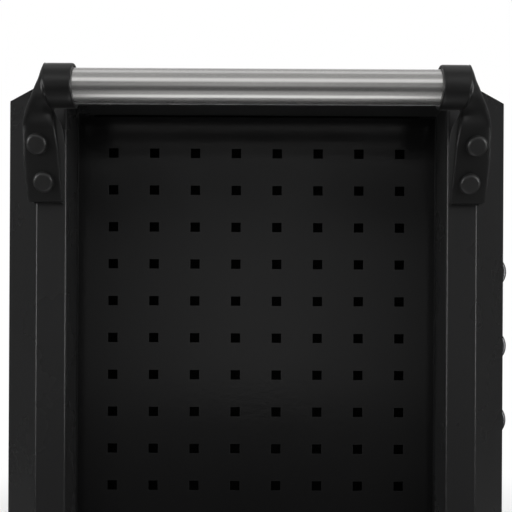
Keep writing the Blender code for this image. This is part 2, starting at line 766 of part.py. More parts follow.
def handle(case):
    for end, sy in (("front", -1), ("rear", 1)):
        add(f"handle_bracket_{end}", bracket_mesh(sy), PLASTIC, case)
        for place, (drop, offset) in zip(("upper", "lower"), bolt_places()):
            spot = (-HALF_WIDTH, sy * (ARM_INNER + offset), CASE_TOP - drop)
            add(f"handle_bolt_{end}_{place}", bolt_mesh(drop), PLASTIC, case, spot)
    half = COLLAR_MOUTH + BORE_DEPTH - SEAT_GAP
    inner = TUBE_RADIUS - TUBE_WALL
    wall = [(inner, -half), (TUBE_RADIUS, -half), (TUBE_RADIUS, half), (inner, half)]
    pipe = turned(wall, TUBE_STEPS, "Y")
    add("handle_tube", pipe, STEEL, case, (-HALF_WIDTH - HANDLE_OUT, 0, CASE_TOP - HANDLE_DROP))


def wheel_mesh():
    """Tyre and core in one turned body with a hub that fills the fork's width."""
    r, w, hub = WHEEL_RADIUS, WHEEL_WIDTH / 2, LEG_INNER - SEAT_GAP
    bore = AXLE_RADIUS + SEAT_GAP
    side = [
        (bore, hub),
        (HUB_RADIUS, hub),
        (HUB_RADIUS, w * 0.45),
        (r * 0.88, w),
        (r, w * 0.55),
    ]
    profile = side + [(radius, -height) for radius, height in side[::-1]]
    return turned(profile, WHEEL_STEPS, "Y")


def axle_mesh():
    """Axle bolt with its head and nut outside the fork's legs."""
    reach = LEG_OUTER + SEAT_GAP
    half = [
        (AXLE_RADIUS, reach),
        (AXLE_HEAD_RADIUS, reach),
        (AXLE_HEAD_RADIUS, reach + AXLE_HEAD),
        (0, reach + AXLE_HEAD),
    ]
    profile = [(radius, -height) for radius, height in half[::-1]] + half
    return turned(profile, 8, "Y")


def fork_mesh(outline, holes, top_level, crown):
    """Pressed fork: a folded channel trimmed to its side outline, with pierced holes."""
    low = min(z for _, z in outline) - 0.001
    channel = [
        (-LEG_OUTER, top_level),
        (-LEG_OUTER, low),
        (-LEG_INNER, low),
        (-LEG_INNER, top_level - crown),
        (LEG_INNER, top_level - crown),
        (LEG_INNER, low),
        (LEG_OUTER, low),
        (LEG_OUTER, top_level),
    ]
    ends = [x for x, _ in outline]
    body = prism([channel], min(ends) - 0.001, max(ends) + 0.001, "X")
    blank = prism([outline, *holes], -LEG_OUTER - 0.001, LEG_OUTER + 0.001, "Y")
    return combined(body, ("INTERSECT", blank))


def boss(x, steps):
    """Lower end of a leg: a half round about the axle, from its right side to its left."""
    turn = [-math.pi * i / steps for i in range(steps + 1)]
    return [(x + BOSS_RADIUS * math.cos(t), axle_level() + BOSS_RADIUS * math.sin(t)) for t in turn]


def axle_level():
    return WHEEL_RADIUS * math.cos(math.pi / WHEEL_STEPS)


def fixed_caster(case, end, sy):
    plate_top = CASTER_HEIGHT - SEAT_GAP
    place = (HALF_WIDTH - CASTER_FROM_SIDE, sy * (HALF_DEPTH - CASTER_FROM_FRONT), 0)
    shoulder = PLATE_LENGTH * 0.36
    outline = [(-shoulder, plate_top - 0.0005), (shoulder, plate_top - 0.0005), *boss(0, 6)]
    hole = circle(0, axle_level(), AXLE_RADIUS + SEAT_GAP, 8, math.pi / 8)
    fork = fork_mesh(outline, [hole], plate_top - 0.0005, PLATE_SHEET - 0.001)
    half_l, half_w = PLATE_LENGTH / 2, PLATE_WIDTH / 2
    plate = box(-half_l, half_l, -half_w, half_w, plate_top - PLATE_SHEET, plate_top)
    root = empty(f"caster_{end}_right_frame", place, case)
    add(f"caster_{end}_right_fork", combined(plate, ("UNION", fork)), ZINC, root)
    add(f"caster_{end}_right_axle", axle_mesh(), ZINC, root, (0, 0, axle_level()))
    add(f"caster_{end}_right_wheel", wheel_mesh(), RUBBER, root, (0, 0, axle_level()))


def pedal_mesh():
    """Foot lever about its pin: pad outward, brake shoe towards the tyre."""
    reach = math.hypot(PEDAL_OUT, PEDAL_UP)
    wheel_way = math.atan2(PEDAL_UP, PEDAL_OUT)
    pressed = []
    for degrees in (-3, -7, -11):
        angle = wheel_way + math.radians(degrees)
        radius = WHEEL_RADIUS + SHOE_GAP
        pressed.append((radius * math.cos(angle) - PEDAL_OUT, radius * math.sin(angle) - PEDAL_UP))
    c, s = math.cos(PEDAL_PRESS), math.sin(PEDAL_PRESS)
    shoe = [(x * c - z * s, x * s + z * c) for x, z in pressed]
    hub = reach * 0.075
    outline = [
        (-hub, 0.001),
        (-hub * 0.6, hub),
        (0.006, hub),
        (0.020, 0.004),
        (0.036, 0.0045),
        (0.040, 0.003),
        (0.040, 0.000),
        (0.036, -0.001),
        (0.020, -0.002),
        (0.010, -0.004),
        shoe[2],
        shoe[1],
        shoe[0],
    ]
    lever = prism([outline], -PEDAL_WIDTH / 2, PEDAL_WIDTH / 2, "Y")
    pin = rod(PEDAL_PIN, -LEG_OUTER - 0.001, LEG_OUTER + 0.001, 12, "Y")
    return combined(lever, ("UNION", pin))


def swivel_caster(case, end, sy):
    plate_top = CASTER_HEIGHT - SEAT_GAP
    race_low = plate_top - PLATE_SHEET - RACE_HEIGHT
    crown_top = race_low - SEAT_GAP
    crown_low = crown_top - CROWN_SHEET
    place = (-HALF_WIDTH + CASTER_FROM_SIDE, sy * (HALF_DEPTH - CASTER_FROM_FRONT), 0)
    half_l, half_w = PLATE_LENGTH / 2, PLATE_WIDTH / 2
    plate = box(-half_l, half_l, -half_w, half_w, plate_top - PLATE_SHEET, plate_top)
    stem = [
        (0, plate_top - PLATE_SHEET / 2),
        (RACE_RADIUS, plate_top - PLATE_SHEET / 2),
        (RACE_RADIUS, race_low + 0.002),
        (RACE_RADIUS - 0.002, race_low),
        (KINGPIN_RADIUS, race_low),
        (KINGPIN_RADIUS, crown_low - SEAT_GAP),
        (KINGPIN_RADIUS * 1.6, crown_low - SEAT_GAP),
        (KINGPIN_RADIUS * 1.6, crown_low - SEAT_GAP - 0.004),
        (0, crown_low - SEAT_GAP - 0.004),
    ]
    frame = empty(f"caster_{end}_left_frame", place, case)
    add(f"caster_{end}_left_plate", combined(plate, ("UNION", turned(stem, 12, "Z"))), ZINC, frame)

    level = axle_level()
    pin_x, pin_z = TRAIL + PEDAL_OUT, level + PEDAL_UP
    outline = [
        (-RACE_RADIUS, crown_low - 0.002),
        (-RACE_RADIUS, crown_top),
        (pin_x - 0.012, crown_top),
        (pin_x + 0.0085, pin_z + 0.004),
        (pin_x + 0.0085, pin_z - 0.004),
        *boss(TRAIL, 6),
    ]
    holes = [
        circle(TRAIL, level, AXLE_RADIUS + SEAT_GAP, 8, math.pi / 8),
        circle(pin_x, pin_z, PEDAL_PIN + SEAT_GAP, 12, math.pi / 12),
    ]
    fork = fork_mesh(outline, holes, crown_top, CROWN_SHEET)
    eye = rod(KINGPIN_RADIUS + SEAT_GAP, crown_low - 0.002, crown_top + 0.002, 12, "Z")
    add(f"caster_{end}_left_fork", combined(fork, ("DIFFERENCE", eye)), ZINC, frame)
    add(f"caster_{end}_left_axle", axle_mesh(), ZINC, frame, (TRAIL, 0, level))
    add(f"caster_{end}_left_wheel", wheel_mesh(), RUBBER, frame, (TRAIL, 0, level))
    add(f"caster_{end}_left_pedal", pedal_mesh(), PLASTIC, frame, (pin_x, 0, pin_z))


# The handle and the pulls stand out on one side only, so the case stands off the middle of the whole.
cabinet = empty("cabinet_frame", (HANDLE_REACH / 2, (PULL_REACH + SEAT_GAP) / 2, 0), None)
corner_posts(cabinet)
pegboards(cabinet)
top(cabinet)
base(cabinet)
back_and_header(cabinet)
lock(cabinet)
slide_racks(cabinet)
drawers(cabinet)
handle(cabinet)
for end_name, side_sign in (("front", -1), ("rear", 1)):
    fixed_caster(cabinet, end_name, side_sign)
    swivel_caster(cabinet, end_name, side_sign)
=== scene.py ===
import bmesh
import bpy
import numpy as np
from mathutils import Euler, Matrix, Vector


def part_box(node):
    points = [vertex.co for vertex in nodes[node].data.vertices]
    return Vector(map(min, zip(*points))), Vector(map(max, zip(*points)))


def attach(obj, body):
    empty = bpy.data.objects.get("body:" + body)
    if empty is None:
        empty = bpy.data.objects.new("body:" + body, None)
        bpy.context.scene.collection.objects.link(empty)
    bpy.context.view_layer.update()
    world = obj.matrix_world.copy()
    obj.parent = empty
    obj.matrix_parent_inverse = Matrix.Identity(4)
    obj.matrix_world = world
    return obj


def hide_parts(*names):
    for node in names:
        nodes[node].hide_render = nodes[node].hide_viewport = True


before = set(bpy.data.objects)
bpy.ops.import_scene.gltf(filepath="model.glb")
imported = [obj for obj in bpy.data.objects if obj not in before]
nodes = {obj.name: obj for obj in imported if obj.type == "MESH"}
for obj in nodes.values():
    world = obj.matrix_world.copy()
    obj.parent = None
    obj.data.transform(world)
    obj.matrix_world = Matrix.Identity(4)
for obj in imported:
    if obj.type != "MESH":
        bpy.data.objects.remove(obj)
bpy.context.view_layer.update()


def spot(node):
    low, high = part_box(node)
    return np.array(low), np.array(high)


baseLow, baseHigh = spot("base_pan")
caseMid = (baseLow + baseHigh)[:2] / 2
halfWidth, halfDepth = (baseHigh - baseLow)[:2] / 2
caseTop = spot("top_tray")[1][2]
sheet = 0.0012  # steel of the case
seat = 0.0003  # room between pieces that meet
leastCorner = 0.0002  # corner that a drawn-in outline keeps


def unit(v):
    return v / np.linalg.norm(v, axis=-1, keepdims=True)


# Line with arcs: an arc touches both legs of its corner, so its centre lies on the bisector at
# radius / sin(half angle). One point more on each leg keeps the flats flat in the shading.
def bentLine(path, radius, steps=6, closed=False):
    p = np.asarray(path, float)
    corner = p if closed else p[1:-1]
    before = np.roll(p, 1, 0) if closed else p[:-2]
    after = np.roll(p, -1, 0) if closed else p[2:]
    a, b = unit(before - corner), unit(after - corner)
    radius = np.broadcast_to(np.asarray(radius, float), len(corner))[:, None]
    half = np.arccos(np.clip((a * b).sum(1), -1, 1))[:, None] / 2
    centre = corner + unit(a + b) * radius / np.sin(half)
    reach = radius / np.tan(half)
    s, e = corner + a * reach - centre, corner + b * reach - centre
    sweep = np.arctan2(s[:, 0] * e[:, 1] - s[:, 1] * e[:, 0], (s * e).sum(1))
    turn = sweep[:, None] * np.linspace(0, 1, steps + 1)
    c, n = np.cos(turn), np.sin(turn)
    arc = np.stack([c * s[:, :1] - n * s[:, 1:], n * s[:, :1] + c * s[:, 1:]], -1) + centre[:, None]
    leg = reach + radius * 0.2
    lead, tail = (corner + a * leg)[:, None], (corner + b * leg)[:, None]
    line = np.concatenate([lead, arc, tail], 1).reshape(-1, 2)
    return line if closed else np.vstack([p[:1], line, p[-1:]])


# Closed polygon with every side moved inwards: each corner slides along its bisector by
# inset / sin(half angle).
def drawnIn(corners, inset):
    p = np.asarray(corners, float)
    a, b = unit(np.roll(p, 1, 0) - p), unit(np.roll(p, -1, 0) - p)
    turn = np.sign(a[:, :1] * b[:, 1:] - a[:, 1:] * b[:, :1])
    half = np.arccos(np.clip((a * b).sum(1), -1, 1))[:, None] / 2
    return p - turn * unit(a + b) * inset / np.sin(half)


def onPlane(flat, height, axis):
    a, b = flat[:, 0], flat[:, 1]
    h = np.full(len(flat), float(height))
    return np.stack({"x": (h, a, b), "y": (a, h, b), "z": (a, b, h)}[axis], -1)


# Rings of equal count joined ring to ring by quads; open ends get a flat face.
def ringLoft(rings, closed=False):
    rings = np.asarray(rings, float)
    m, n = rings.shape[:2]
    i, j = np.meshgrid(np.arange(m if closed else m - 1), np.arange(n), indexing="ij")
    i2, j2 = (i + 1) % m, (j + 1) % n
    quads = np.stack([i * n + j, i2 * n + j, i2 * n + j2, i * n + j2], -1).reshape(-1, 4)
    caps = [] if closed else [np.arange(n)[::-1], (m - 1) * n + np.arange(n)]
    return rings.reshape(-1, 3), quads, caps


# Outline carried straight along an axis.
def carried(outline, low, high, axis):
    return ringLoft([onPlane(outline, low, axis), onPlane(outline, high, axis)])


# Polygon with rounded corners lofted through a profile of (inset, height) points.
def boxLoft(corners, cornerRadius, profile, axis, steps=5):
    rings = [
        onPlane(bentLine(drawnIn(corners, i), max(cornerRadius - i, leastCorner), steps, True), h, axis)
        for i, h in profile
    ]
    return ringLoft(rings)


# Profile over the edge of a slab, for boxLoft: out along one face, round both corners and back in.
def slabEdge(low, high, reach, radius, steps):
    return bentLine([(reach, low), (0, low), (0, high), (reach, high)], radius, steps)


# Profile of (radius, along) points carried once round an axis.
def spun(profile, axis, centre, steps, closed=False):
    r, h = np.asarray(profile, float).T
    t = np.linspace(0, 2 * np.pi, steps, endpoint=False)
    a, b = r[:, None] * np.cos(t), r[:, None] * np.sin(t)
    c = np.broadcast_to(h[:, None], a.shape)
    rings = np.stack({"x": (c, a, b), "y": (a, c, b), "z": (a, b, c)}[axis], -1) + np.asarray(centre)
    return ringLoft(rings, closed)


# Shown line of a folded strip and, one thickness to its left, the line behind it, bent about the
# same centres.
def foldedSheet(path, thick, bend, steps=6):
    p = np.asarray(path, float)
    way = unit(np.diff(p, axis=0))
    side = np.stack([-way[:, 1], way[:, 0]], -1)
    middle = unit(side[:-1] + side[1:])
    inner = p[1:-1] + middle * thick / (middle * side[:-1]).sum(1, keepdims=True)
    behind = np.vstack([p[:1] + side[:1] * thick, inner, p[-1:] + side[-1:] * thick])
    left = way[:-1, 0] * way[1:, 1] - way[:-1, 1] * way[1:, 0] > 0
    shown = bentLine(p, np.where(left, bend + thick, bend), steps)
    back = bentLine(behind, np.where(left, bend, bend + thick), steps)
    return np.vstack([shown, back[::-1]])


def rectangle(low, high):
    return np.array([(low[0], low[1]), (high[0], low[1]), (high[0], high[1]), (low[0], high[1])])


def eightSided(half, wide, deep):
    x, y = half
    quarter = [(x - wide, -y), (x, -y + deep), (x, y - deep), (x - wide, y)]
    return np.array(quarter + [(-a, -b) for a, b in quarter]) + caseMid


def hexagon(radius, centre):
    t = np.radians(np.arange(30, 390, 60))
    return np.stack([np.cos(t), np.sin(t)], -1) * radius + centre


meshing = {
    "weld": 1e-7, "solidWeld": 1e-6, "flatAngle": 0.01, "crease": 34, "solidCrease": 38, "easeSteps": 2,
}


def linked(name, data):
    made = bpy.data.objects.new(name, data)
    bpy.context.scene.collection.objects.link(made)
    return made


# One object from one or more shells, seams welded, faces turned outwards, smooth up to a crease.
def addPiece(name, shells, look, body, stands=(), crease=meshing["crease"]):
    points, faces, start = [], [], 0
    for shellPoints, quads, caps in shells:
        points.append(shellPoints)
        faces += (quads + start).tolist() + [(cap + start).tolist() for cap in caps]
        start += len(shellPoints)
    mesh = bpy.data.meshes.new(name)
    mesh.from_pydata(np.vstack(points), [], faces)
    settle(name, mesh, look, body, stands, crease)


def settle(name, mesh, look, body, stands, crease):
    work = bmesh.new()
    work.from_mesh(mesh)
    bmesh.ops.remove_doubles(work, verts=work.verts, dist=meshing["weld"])
    bmesh.ops.recalc_face_normals(work, faces=work.faces)
    work.to_mesh(mesh)
    work.free()
    mesh.shade_smooth()
    mesh.set_sharp_from_angle(angle=np.radians(crease))
    mesh.materials.append(look)
    made = linked(name, mesh)
    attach(made, body)
    if stands:
        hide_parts(*stands)
    return made


# A solid's own shape with its flats joined up and its edges eased.
def easedCopy(name, node, look, body, width):
    work = bmesh.new()
    work.from_mesh(nodes[node].data)
    bmesh.ops.remove_doubles(work, verts=work.verts, dist=meshing["solidWeld"])
    bmesh.ops.dissolve_limit(work, angle_limit=meshing["flatAngle"], verts=work.verts, edges=work.edges)
    mesh = bpy.data.meshes.new(name)
    work.to_mesh(mesh)
    work.free()
    made = settle(name, mesh, look, body, [node], meshing["solidCrease"])
    ease = made.modifiers.new("eased edges", "BEVEL")
    ease.width = width
    ease.segments = meshing["easeSteps"]
    ease.limit_method = "ANGLE"
    ease.angle_limit = np.radians(meshing["solidCrease"])
    ease.harden_normals = True


# A solid shown as it is, in a finish of its own.
def recoat(node, look):
    nodes[node].data.materials.clear()
    nodes[node].data.materials.append(look)


def put(tree, kind, sockets=None, **settings):
    made = tree.nodes.new("ShaderNode" + kind)
    for key, value in settings.items():
        setattr(made, key, value)
    for key, value in (sockets or {}).items():
        made.inputs[key].default_value = value
    return made


def join(tree, *pairs):
    for source, target in pairs:
        tree.links.new(source, target)


def newGroup(name, inputs, outputs):
    tree = bpy.data.node_groups.new(name, "ShaderNodeTree")
    for label, kind in inputs:
        tree.interface.new_socket(label, in_out="INPUT", socket_type="NodeSocket" + kind)
    for label, kind in outputs:
        tree.interface.new_socket(label, in_out="OUTPUT", socket_type="NodeSocket" + kind)
    return tree, tree.nodes.new("NodeGroupInput"), tree.nodes.new("NodeGroupOutput")


# Powder coat: fine pebbles on a slower wave, and a slow mottle for the gloss.
def coatGrainGroup():
    tree, given, out = newGroup(
        "coatGrain",
        [("Vector", "Vector"), ("Pebble", "Float"), ("Wave", "Float"), ("Wave Share", "Float")],
        [("Height", "Float"), ("Mottle", "Float")],
    )
    pebble = put(tree, "TexNoise", {"Detail": 2.0, "Roughness": 0.5})
    wave = put(tree, "TexNoise", {"Detail": 1.0, "Roughness": 0.4})
    mottle = put(tree, "TexNoise", {"Scale": 9.0, "Detail": 4.0, "Roughness": 0.6})
    share = put(tree, "Math", operation="MULTIPLY_ADD")
    join(
        tree,
        (given.outputs["Vector"], pebble.inputs["Vector"]),
        (given.outputs["Vector"], wave.inputs["Vector"]),
        (given.outputs["Vector"], mottle.inputs["Vector"]),
        (given.outputs["Pebble"], pebble.inputs["Scale"]),
        (given.outputs["Wave"], wave.inputs["Scale"]),
        (wave.outputs[0], share.inputs[0]),
        (given.outputs["Wave Share"], share.inputs[1]),
        (pebble.outputs[0], share.inputs[2]),
        (share.outputs[0], out.inputs["Height"]),
        (mottle.outputs[0], out.inputs["Mottle"]),
    )
    return tree


# Rubbed edges and painted edge highlights: where the rounded normal leaves the true one, broken up by noise.
def edgeRubAndHighlightGroup():
    tree, given, out = newGroup("edgeRubAndHighlight", [("Vector", "Vector"), ("Radius", "Float")], [("Mask", "Float")])
    soft = put(tree, "Bevel", samples=4)
    true = put(tree, "NewGeometry")
    dot = put(tree, "VectorMath", operation="DOT_PRODUCT")
    span = put(tree, "MapRange", {"From Min": 0.985, "From Max": 0.80, "To Min": 0.0, "To Max": 1.0})
    noise = put(tree, "TexNoise", {"Scale": 130.0, "Detail": 3.0})
    broken = put(tree, "MapRange", {"From Min": 0.35, "From Max": 0.62})
    mask = put(tree, "Math", operation="MULTIPLY")
    join(
        tree,
        (given.outputs["Radius"], soft.inputs["Radius"]),
        (soft.outputs[0], dot.inputs[0]),
        (true.outputs["Normal"], dot.inputs[1]),
        (dot.outputs["Value"], span.inputs[0]),
        (given.outputs["Vector"], noise.inputs["Vector"]),
        (noise.outputs[0], broken.inputs[0]),
        (span.outputs[0], mask.inputs[0]),
        (broken.outputs[0], mask.inputs[1]),
        (mask.outputs[0], out.inputs["Mask"]),
    )
    return tree


# Grinding lines: noise stretched along one axis.
def drawnLinesGroup():
    tree, given, out = newGroup(
        "drawnLines", [("Vector", "Vector"), ("Stretch", "Vector")], [("Height", "Float"), ("Cloud", "Float")]
    )
    scaled = put(tree, "VectorMath", operation="MULTIPLY")
    lines = put(tree, "TexNoise", {"Scale": 1.0, "Detail": 4.0, "Roughness": 0.65})
    cloud = put(tree, "TexNoise", {"Scale": 26.0, "Detail": 3.0})
    join(
        tree,
        (given.outputs["Vector"], scaled.inputs[0]),
        (given.outputs["Stretch"], scaled.inputs[1]),
        (scaled.outputs[0], lines.inputs["Vector"]),
        (given.outputs["Vector"], cloud.inputs["Vector"]),
        (lines.outputs[0], out.inputs["Height"]),
        (cloud.outputs[0], out.inputs["Cloud"]),
    )
    return tree


coatGrain = coatGrainGroup()
edgeRubAndHighlight = edgeRubAndHighlightGroup()
drawnLines = drawnLinesGroup()


def newLook(name, colour, metallic, roughness, specular=0.5, bloom=0.0):
    look = bpy.data.materials.new(name)
    look.use_nodes = True
    tree = look.node_tree
    skin = tree.nodes["Principled BSDF"]
    skin.inputs["Base Color"].default_value = (*colour, 1)
    skin.inputs["Metallic"].default_value = metallic
    skin.inputs["Roughness"].default_value = roughness
    skin.inputs["Specular IOR Level"].default_value = specular
    skin.inputs["Sheen Weight"].default_value = bloom
    skin.inputs["Sheen Roughness"].default_value = 0.3
    return look, tree, skin, put(tree, "TexCoord")


def placed(tree, group, sockets, where):
    made = put(tree, "Group", sockets, node_tree=group)
    tree.links.new(where.outputs["Object"], made.inputs["Vector"])
    return made


def placedGrain(tree, style, where):
    sockets = {"Pebble": style["pebble"], "Wave": style["wave"], "Wave Share": style["waveShare"]}
    return placed(tree, coatGrain, sockets, where)


def glossRange(tree, style):
    low, high = style["gloss"]
    return put(tree, "MapRange", {"From Min": 0.3, "From Max": 0.7, "To Min": low, "To Max": high})


def styleBump(tree, style):
    return put(tree, "Bump", {"Strength": style["bump"], "Distance": style["bumpHeight"]})


# Coated or moulded surface: grain for bump, mottle for gloss, paler edges that are partly rubbed wear and
# partly a painted highlight, a faint bloom aslant.
def coatLook(name, style):
    look, tree, skin, where = newLook(
        name, style["colour"], 0.0, style["gloss"][0], style["specular"], style["bloom"]
    )
    grain = placedGrain(tree, style, where)
    rubAndHighlight = placed(tree, edgeRubAndHighlight, {"Radius": style["rubAndHighlightReach"]}, where)
    share = put(tree, "Math", {1: style["rubAndHighlight"]}, operation="MULTIPLY")
    tint = put(tree, "MixRGB", {"Color1": (*style["colour"], 1), "Color2": (*style["rubAndHighlightColour"], 1)})
    gloss = glossRange(tree, style)
    bump = styleBump(tree, style)
    join(
        tree,
        (rubAndHighlight.outputs["Mask"], share.inputs[0]),
        (share.outputs[0], tint.inputs["Fac"]),
        (tint.outputs[0], skin.inputs["Base Color"]),
        (grain.outputs["Mottle"], gloss.inputs[0]),
        (gloss.outputs[0], skin.inputs["Roughness"]),
        (grain.outputs["Height"], bump.inputs["Height"]),
        (bump.outputs[0], skin.inputs["Normal"]),
    )
    return look


# Metal: grinding lines for bump and gloss, a slow cloud in the colour, a bloom aslant.
def metalLook(name, style):
    look, tree, skin, where = newLook(
        name, style["colour"], style["metal"], style["gloss"][0], bloom=style["bloom"]
    )
    lines = placed(tree, drawnLines, {"Stretch": style["stretch"]}, where)
    tint = put(tree, "MixRGB", {"Color1": (*style["colour"], 1), "Color2": (*style["cloudColour"], 1)})
    gloss = glossRange(tree, style)
    bump = styleBump(tree, style)
    join(
        tree,
        (lines.outputs["Cloud"], tint.inputs["Fac"]),
        (tint.outputs[0], skin.inputs["Base Color"]),
        (lines.outputs["Height"], gloss.inputs[0]),
        (gloss.outputs[0], skin.inputs["Roughness"]),
        (lines.outputs["Height"], bump.inputs["Height"]),
        (bump.outputs[0], skin.inputs["Normal"]),
    )
    return look


# The rub colour on edges is partly wear and partly a painted highlight along the bends.
bodyCoatStyle = {
    "colour": (0.0118, 0.0118, 0.0120), "rubAndHighlightColour": (0.06, 0.06, 0.06), "rubAndHighlight": 0.25, "rubAndHighlightReach": 0.0009,
    "gloss": (0.265, 0.295), "specular": 0.30, "bloom": 0.045, "pebble": 1500.0, "wave": 330.0,
    "waveShare": 0.3, "bump": 0.02, "bumpHeight": 0.0003,
}
panelCoatStyle = {
    **bodyCoatStyle, "colour": (0.0038, 0.0038, 0.0039), "gloss": (0.13, 0.20), "specular": 0.42,
    "bloom": 0.0, "pebble": 800.0, "wave": 210.0, "waveShare": 1.2, "bump": 0.14,
}
# Slide racks: a black coat made darker and duller than the body's, partly painted shade so that the pegboard
# holes read black.
innerCoatAndShadeStyle = {**bodyCoatStyle, "colour": (0.004, 0.004, 0.004), "gloss": (0.6, 0.7), "specular": 0.1}
mouldingStyle = {
    **bodyCoatStyle, "colour": (0.0034, 0.0034, 0.0034), "rubAndHighlightColour": (0.03, 0.03, 0.03),
    "gloss": (0.33, 0.41), "specular": 0.42, "bloom": 0.15, "pebble": 2600.0, "wave": 600.0, "bump": 0.08,
    "bumpHeight": 0.0002,
}
boltStyle = {**mouldingStyle, "colour": (0.0120, 0.0120, 0.0120), "gloss": (0.30, 0.38), "bloom": 0.10}
pullStyle = {
    "colour": (0.11, 0.11, 0.115), "cloudColour": (0.09, 0.09, 0.093), "gloss": (0.26, 0.36),
    "metal": 1.0, "bloom": 0.0, "stretch": (18.0, 1500.0, 1500.0), "bump": 0.05, "bumpHeight": 0.0001,
}
tyreStyle = {
    **bodyCoatStyle, "colour": (0.016, 0.016, 0.016), "rubAndHighlightColour": (0.04, 0.04, 0.04), "gloss": (0.62, 0.78),
    "specular": 0.35, "bloom": 0.08, "pebble": 900.0, "bump": 0.15,
}
coreStyle = {
    **bodyCoatStyle, "colour": (0.085, 0.086, 0.09), "rubAndHighlightColour": (0.14, 0.14, 0.14), "gloss": (0.42, 0.52),
    "specular": 0.4, "bump": 0.05,
}
tubeStyle = {
    "colour": (0.66, 0.65, 0.635), "cloudColour": (0.60, 0.595, 0.585), "gloss": (0.19, 0.27),
    "metal": 0.94, "bloom": 0.90, "stretch": (2200.0, 16.0, 2200.0), "bump": 0.06, "bumpHeight": 0.0001,
}
zincStyle = {
    "colour": (0.60, 0.60, 0.60), "cloudColour": (0.46, 0.47, 0.48), "gloss": (0.30, 0.42),
    "metal": 1.0, "bloom": 0.0, "stretch": (420.0, 420.0, 420.0), "bump": 0.06, "bumpHeight": 0.0002,
}
bodyCoat = coatLook("bodyCoat", bodyCoatStyle)
panelCoat = coatLook("panelCoat", panelCoatStyle)
innerCoatAndShade = coatLook("innerCoatAndShade", innerCoatAndShadeStyle)
moulding = coatLook("moulding", mouldingStyle)
boltCoat = coatLook("boltCoat", boltStyle)
pullMetal = metalLook("pullMetal", pullStyle)
tyreRubber = coatLook("tyreRubber", tyreStyle)
wheelCore = coatLook("wheelCore", coreStyle)
tubeSteel = metalLook("tubeSteel", tubeStyle)
zincSteel = metalLook("zincSteel", zincStyle)

matStyle = {
    "colour": (0.012, 0.012, 0.0125), "roughness": 0.7, "specular": 0.25, "rib": 0.0032, "pebble": 1200.0,
    "wave": 300.0, "waveShare": 0.3, "grainShare": 0.12, "bump": 0.5, "bumpHeight": 0.0008,
}


# Ribbed mat: a sine across the ribs for height, fine noise for the rubber. The wave texture turns by
# 20 times its scale in a metre, so one rib is 2 pi / (20 scale).
def matLook(name, style):
    look, tree, skin, where = newLook(name, style["colour"], 0.0, style["roughness"], style["specular"])
    scale = 2 * np.pi / (20 * style["rib"])
    ribs = put(tree, "TexWave", {"Scale": scale, "Distortion": 0.0}, bands_direction="Y")
    grain = placedGrain(tree, style, where)
    both = put(tree, "Math", {1: style["grainShare"]}, operation="MULTIPLY_ADD")
    bump = styleBump(tree, style)
    join(
        tree,
        (where.outputs["Object"], ribs.inputs["Vector"]),
        (grain.outputs["Height"], both.inputs[0]),
        (ribs.outputs["Fac"], both.inputs[2]),
        (both.outputs[0], bump.inputs["Height"]),
        (bump.outputs[0], skin.inputs["Normal"]),
    )
    return look


matRubber = matLook("matRubber", matStyle)
print("finishes made")


postSize = {
    "slopeWide": 0.0466, "slopeDeep": 0.0387, "sideFlat": 0.027, "recess": 0.037, "lip": 0.015,
    "face": 0.0214, "jamb": 0.030, "bend": 0.0016,
}
returnBack = postSize["slopeDeep"] + postSize["sideFlat"]
lipIn = postSize["recess"] + sheet + seat
jambIn = postSize["slopeWide"] + postSize["face"]
casePlan = eightSided((halfWidth, halfDepth), postSize["slopeWide"], postSize["slopeDeep"])


# Corner post: one folded strip, drawn as distances from the side and from the end, carried upwards.
def addPosts():
    line = [
        (lipIn, returnBack + postSize["lip"]), (lipIn, returnBack), (0, returnBack),
        (0, postSize["slopeDeep"]), (postSize["slopeWide"], 0), (jambIn, 0), (jambIn, postSize["jamb"]),
    ]
    outline = foldedSheet(line, sheet, postSize["bend"], 8)
    for end, sy in (("front", -1), ("rear", 1)):
        for hand, sx in (("left", -1), ("right", 1)):
            node = f"post_{end}_{hand}"
            low, high = spot(node)
            plan = caseMid + (np.array([halfWidth, halfDepth]) - outline) * (sx, sy)
            shell = carried(plan, low[2], high[2], "z")
            addPiece(f"{end}{hand.title()}Post", [shell], bodyCoat, "cabinet", [node])


topSize = {
    "railDrop": 0.015, "railBend": 0.0012, "railShort": 0.0012, "mouthRoom": 0.002, "mouthCorner": 0.016,
    "cornerCut": 0.586, "mouthRoll": 0.0026, "rollReach": 0.008, "floorRound": 0.004, "floorReach": 0.012,
    "edgeRound": 0.0005, "edgeReach": 0.006, "rimCorner": 0.003, "leastCorner": 0.0004, "matCorner": 0.012,
    "matReach": 0.010, "matRounds": (0.0003, 0.0011),
}


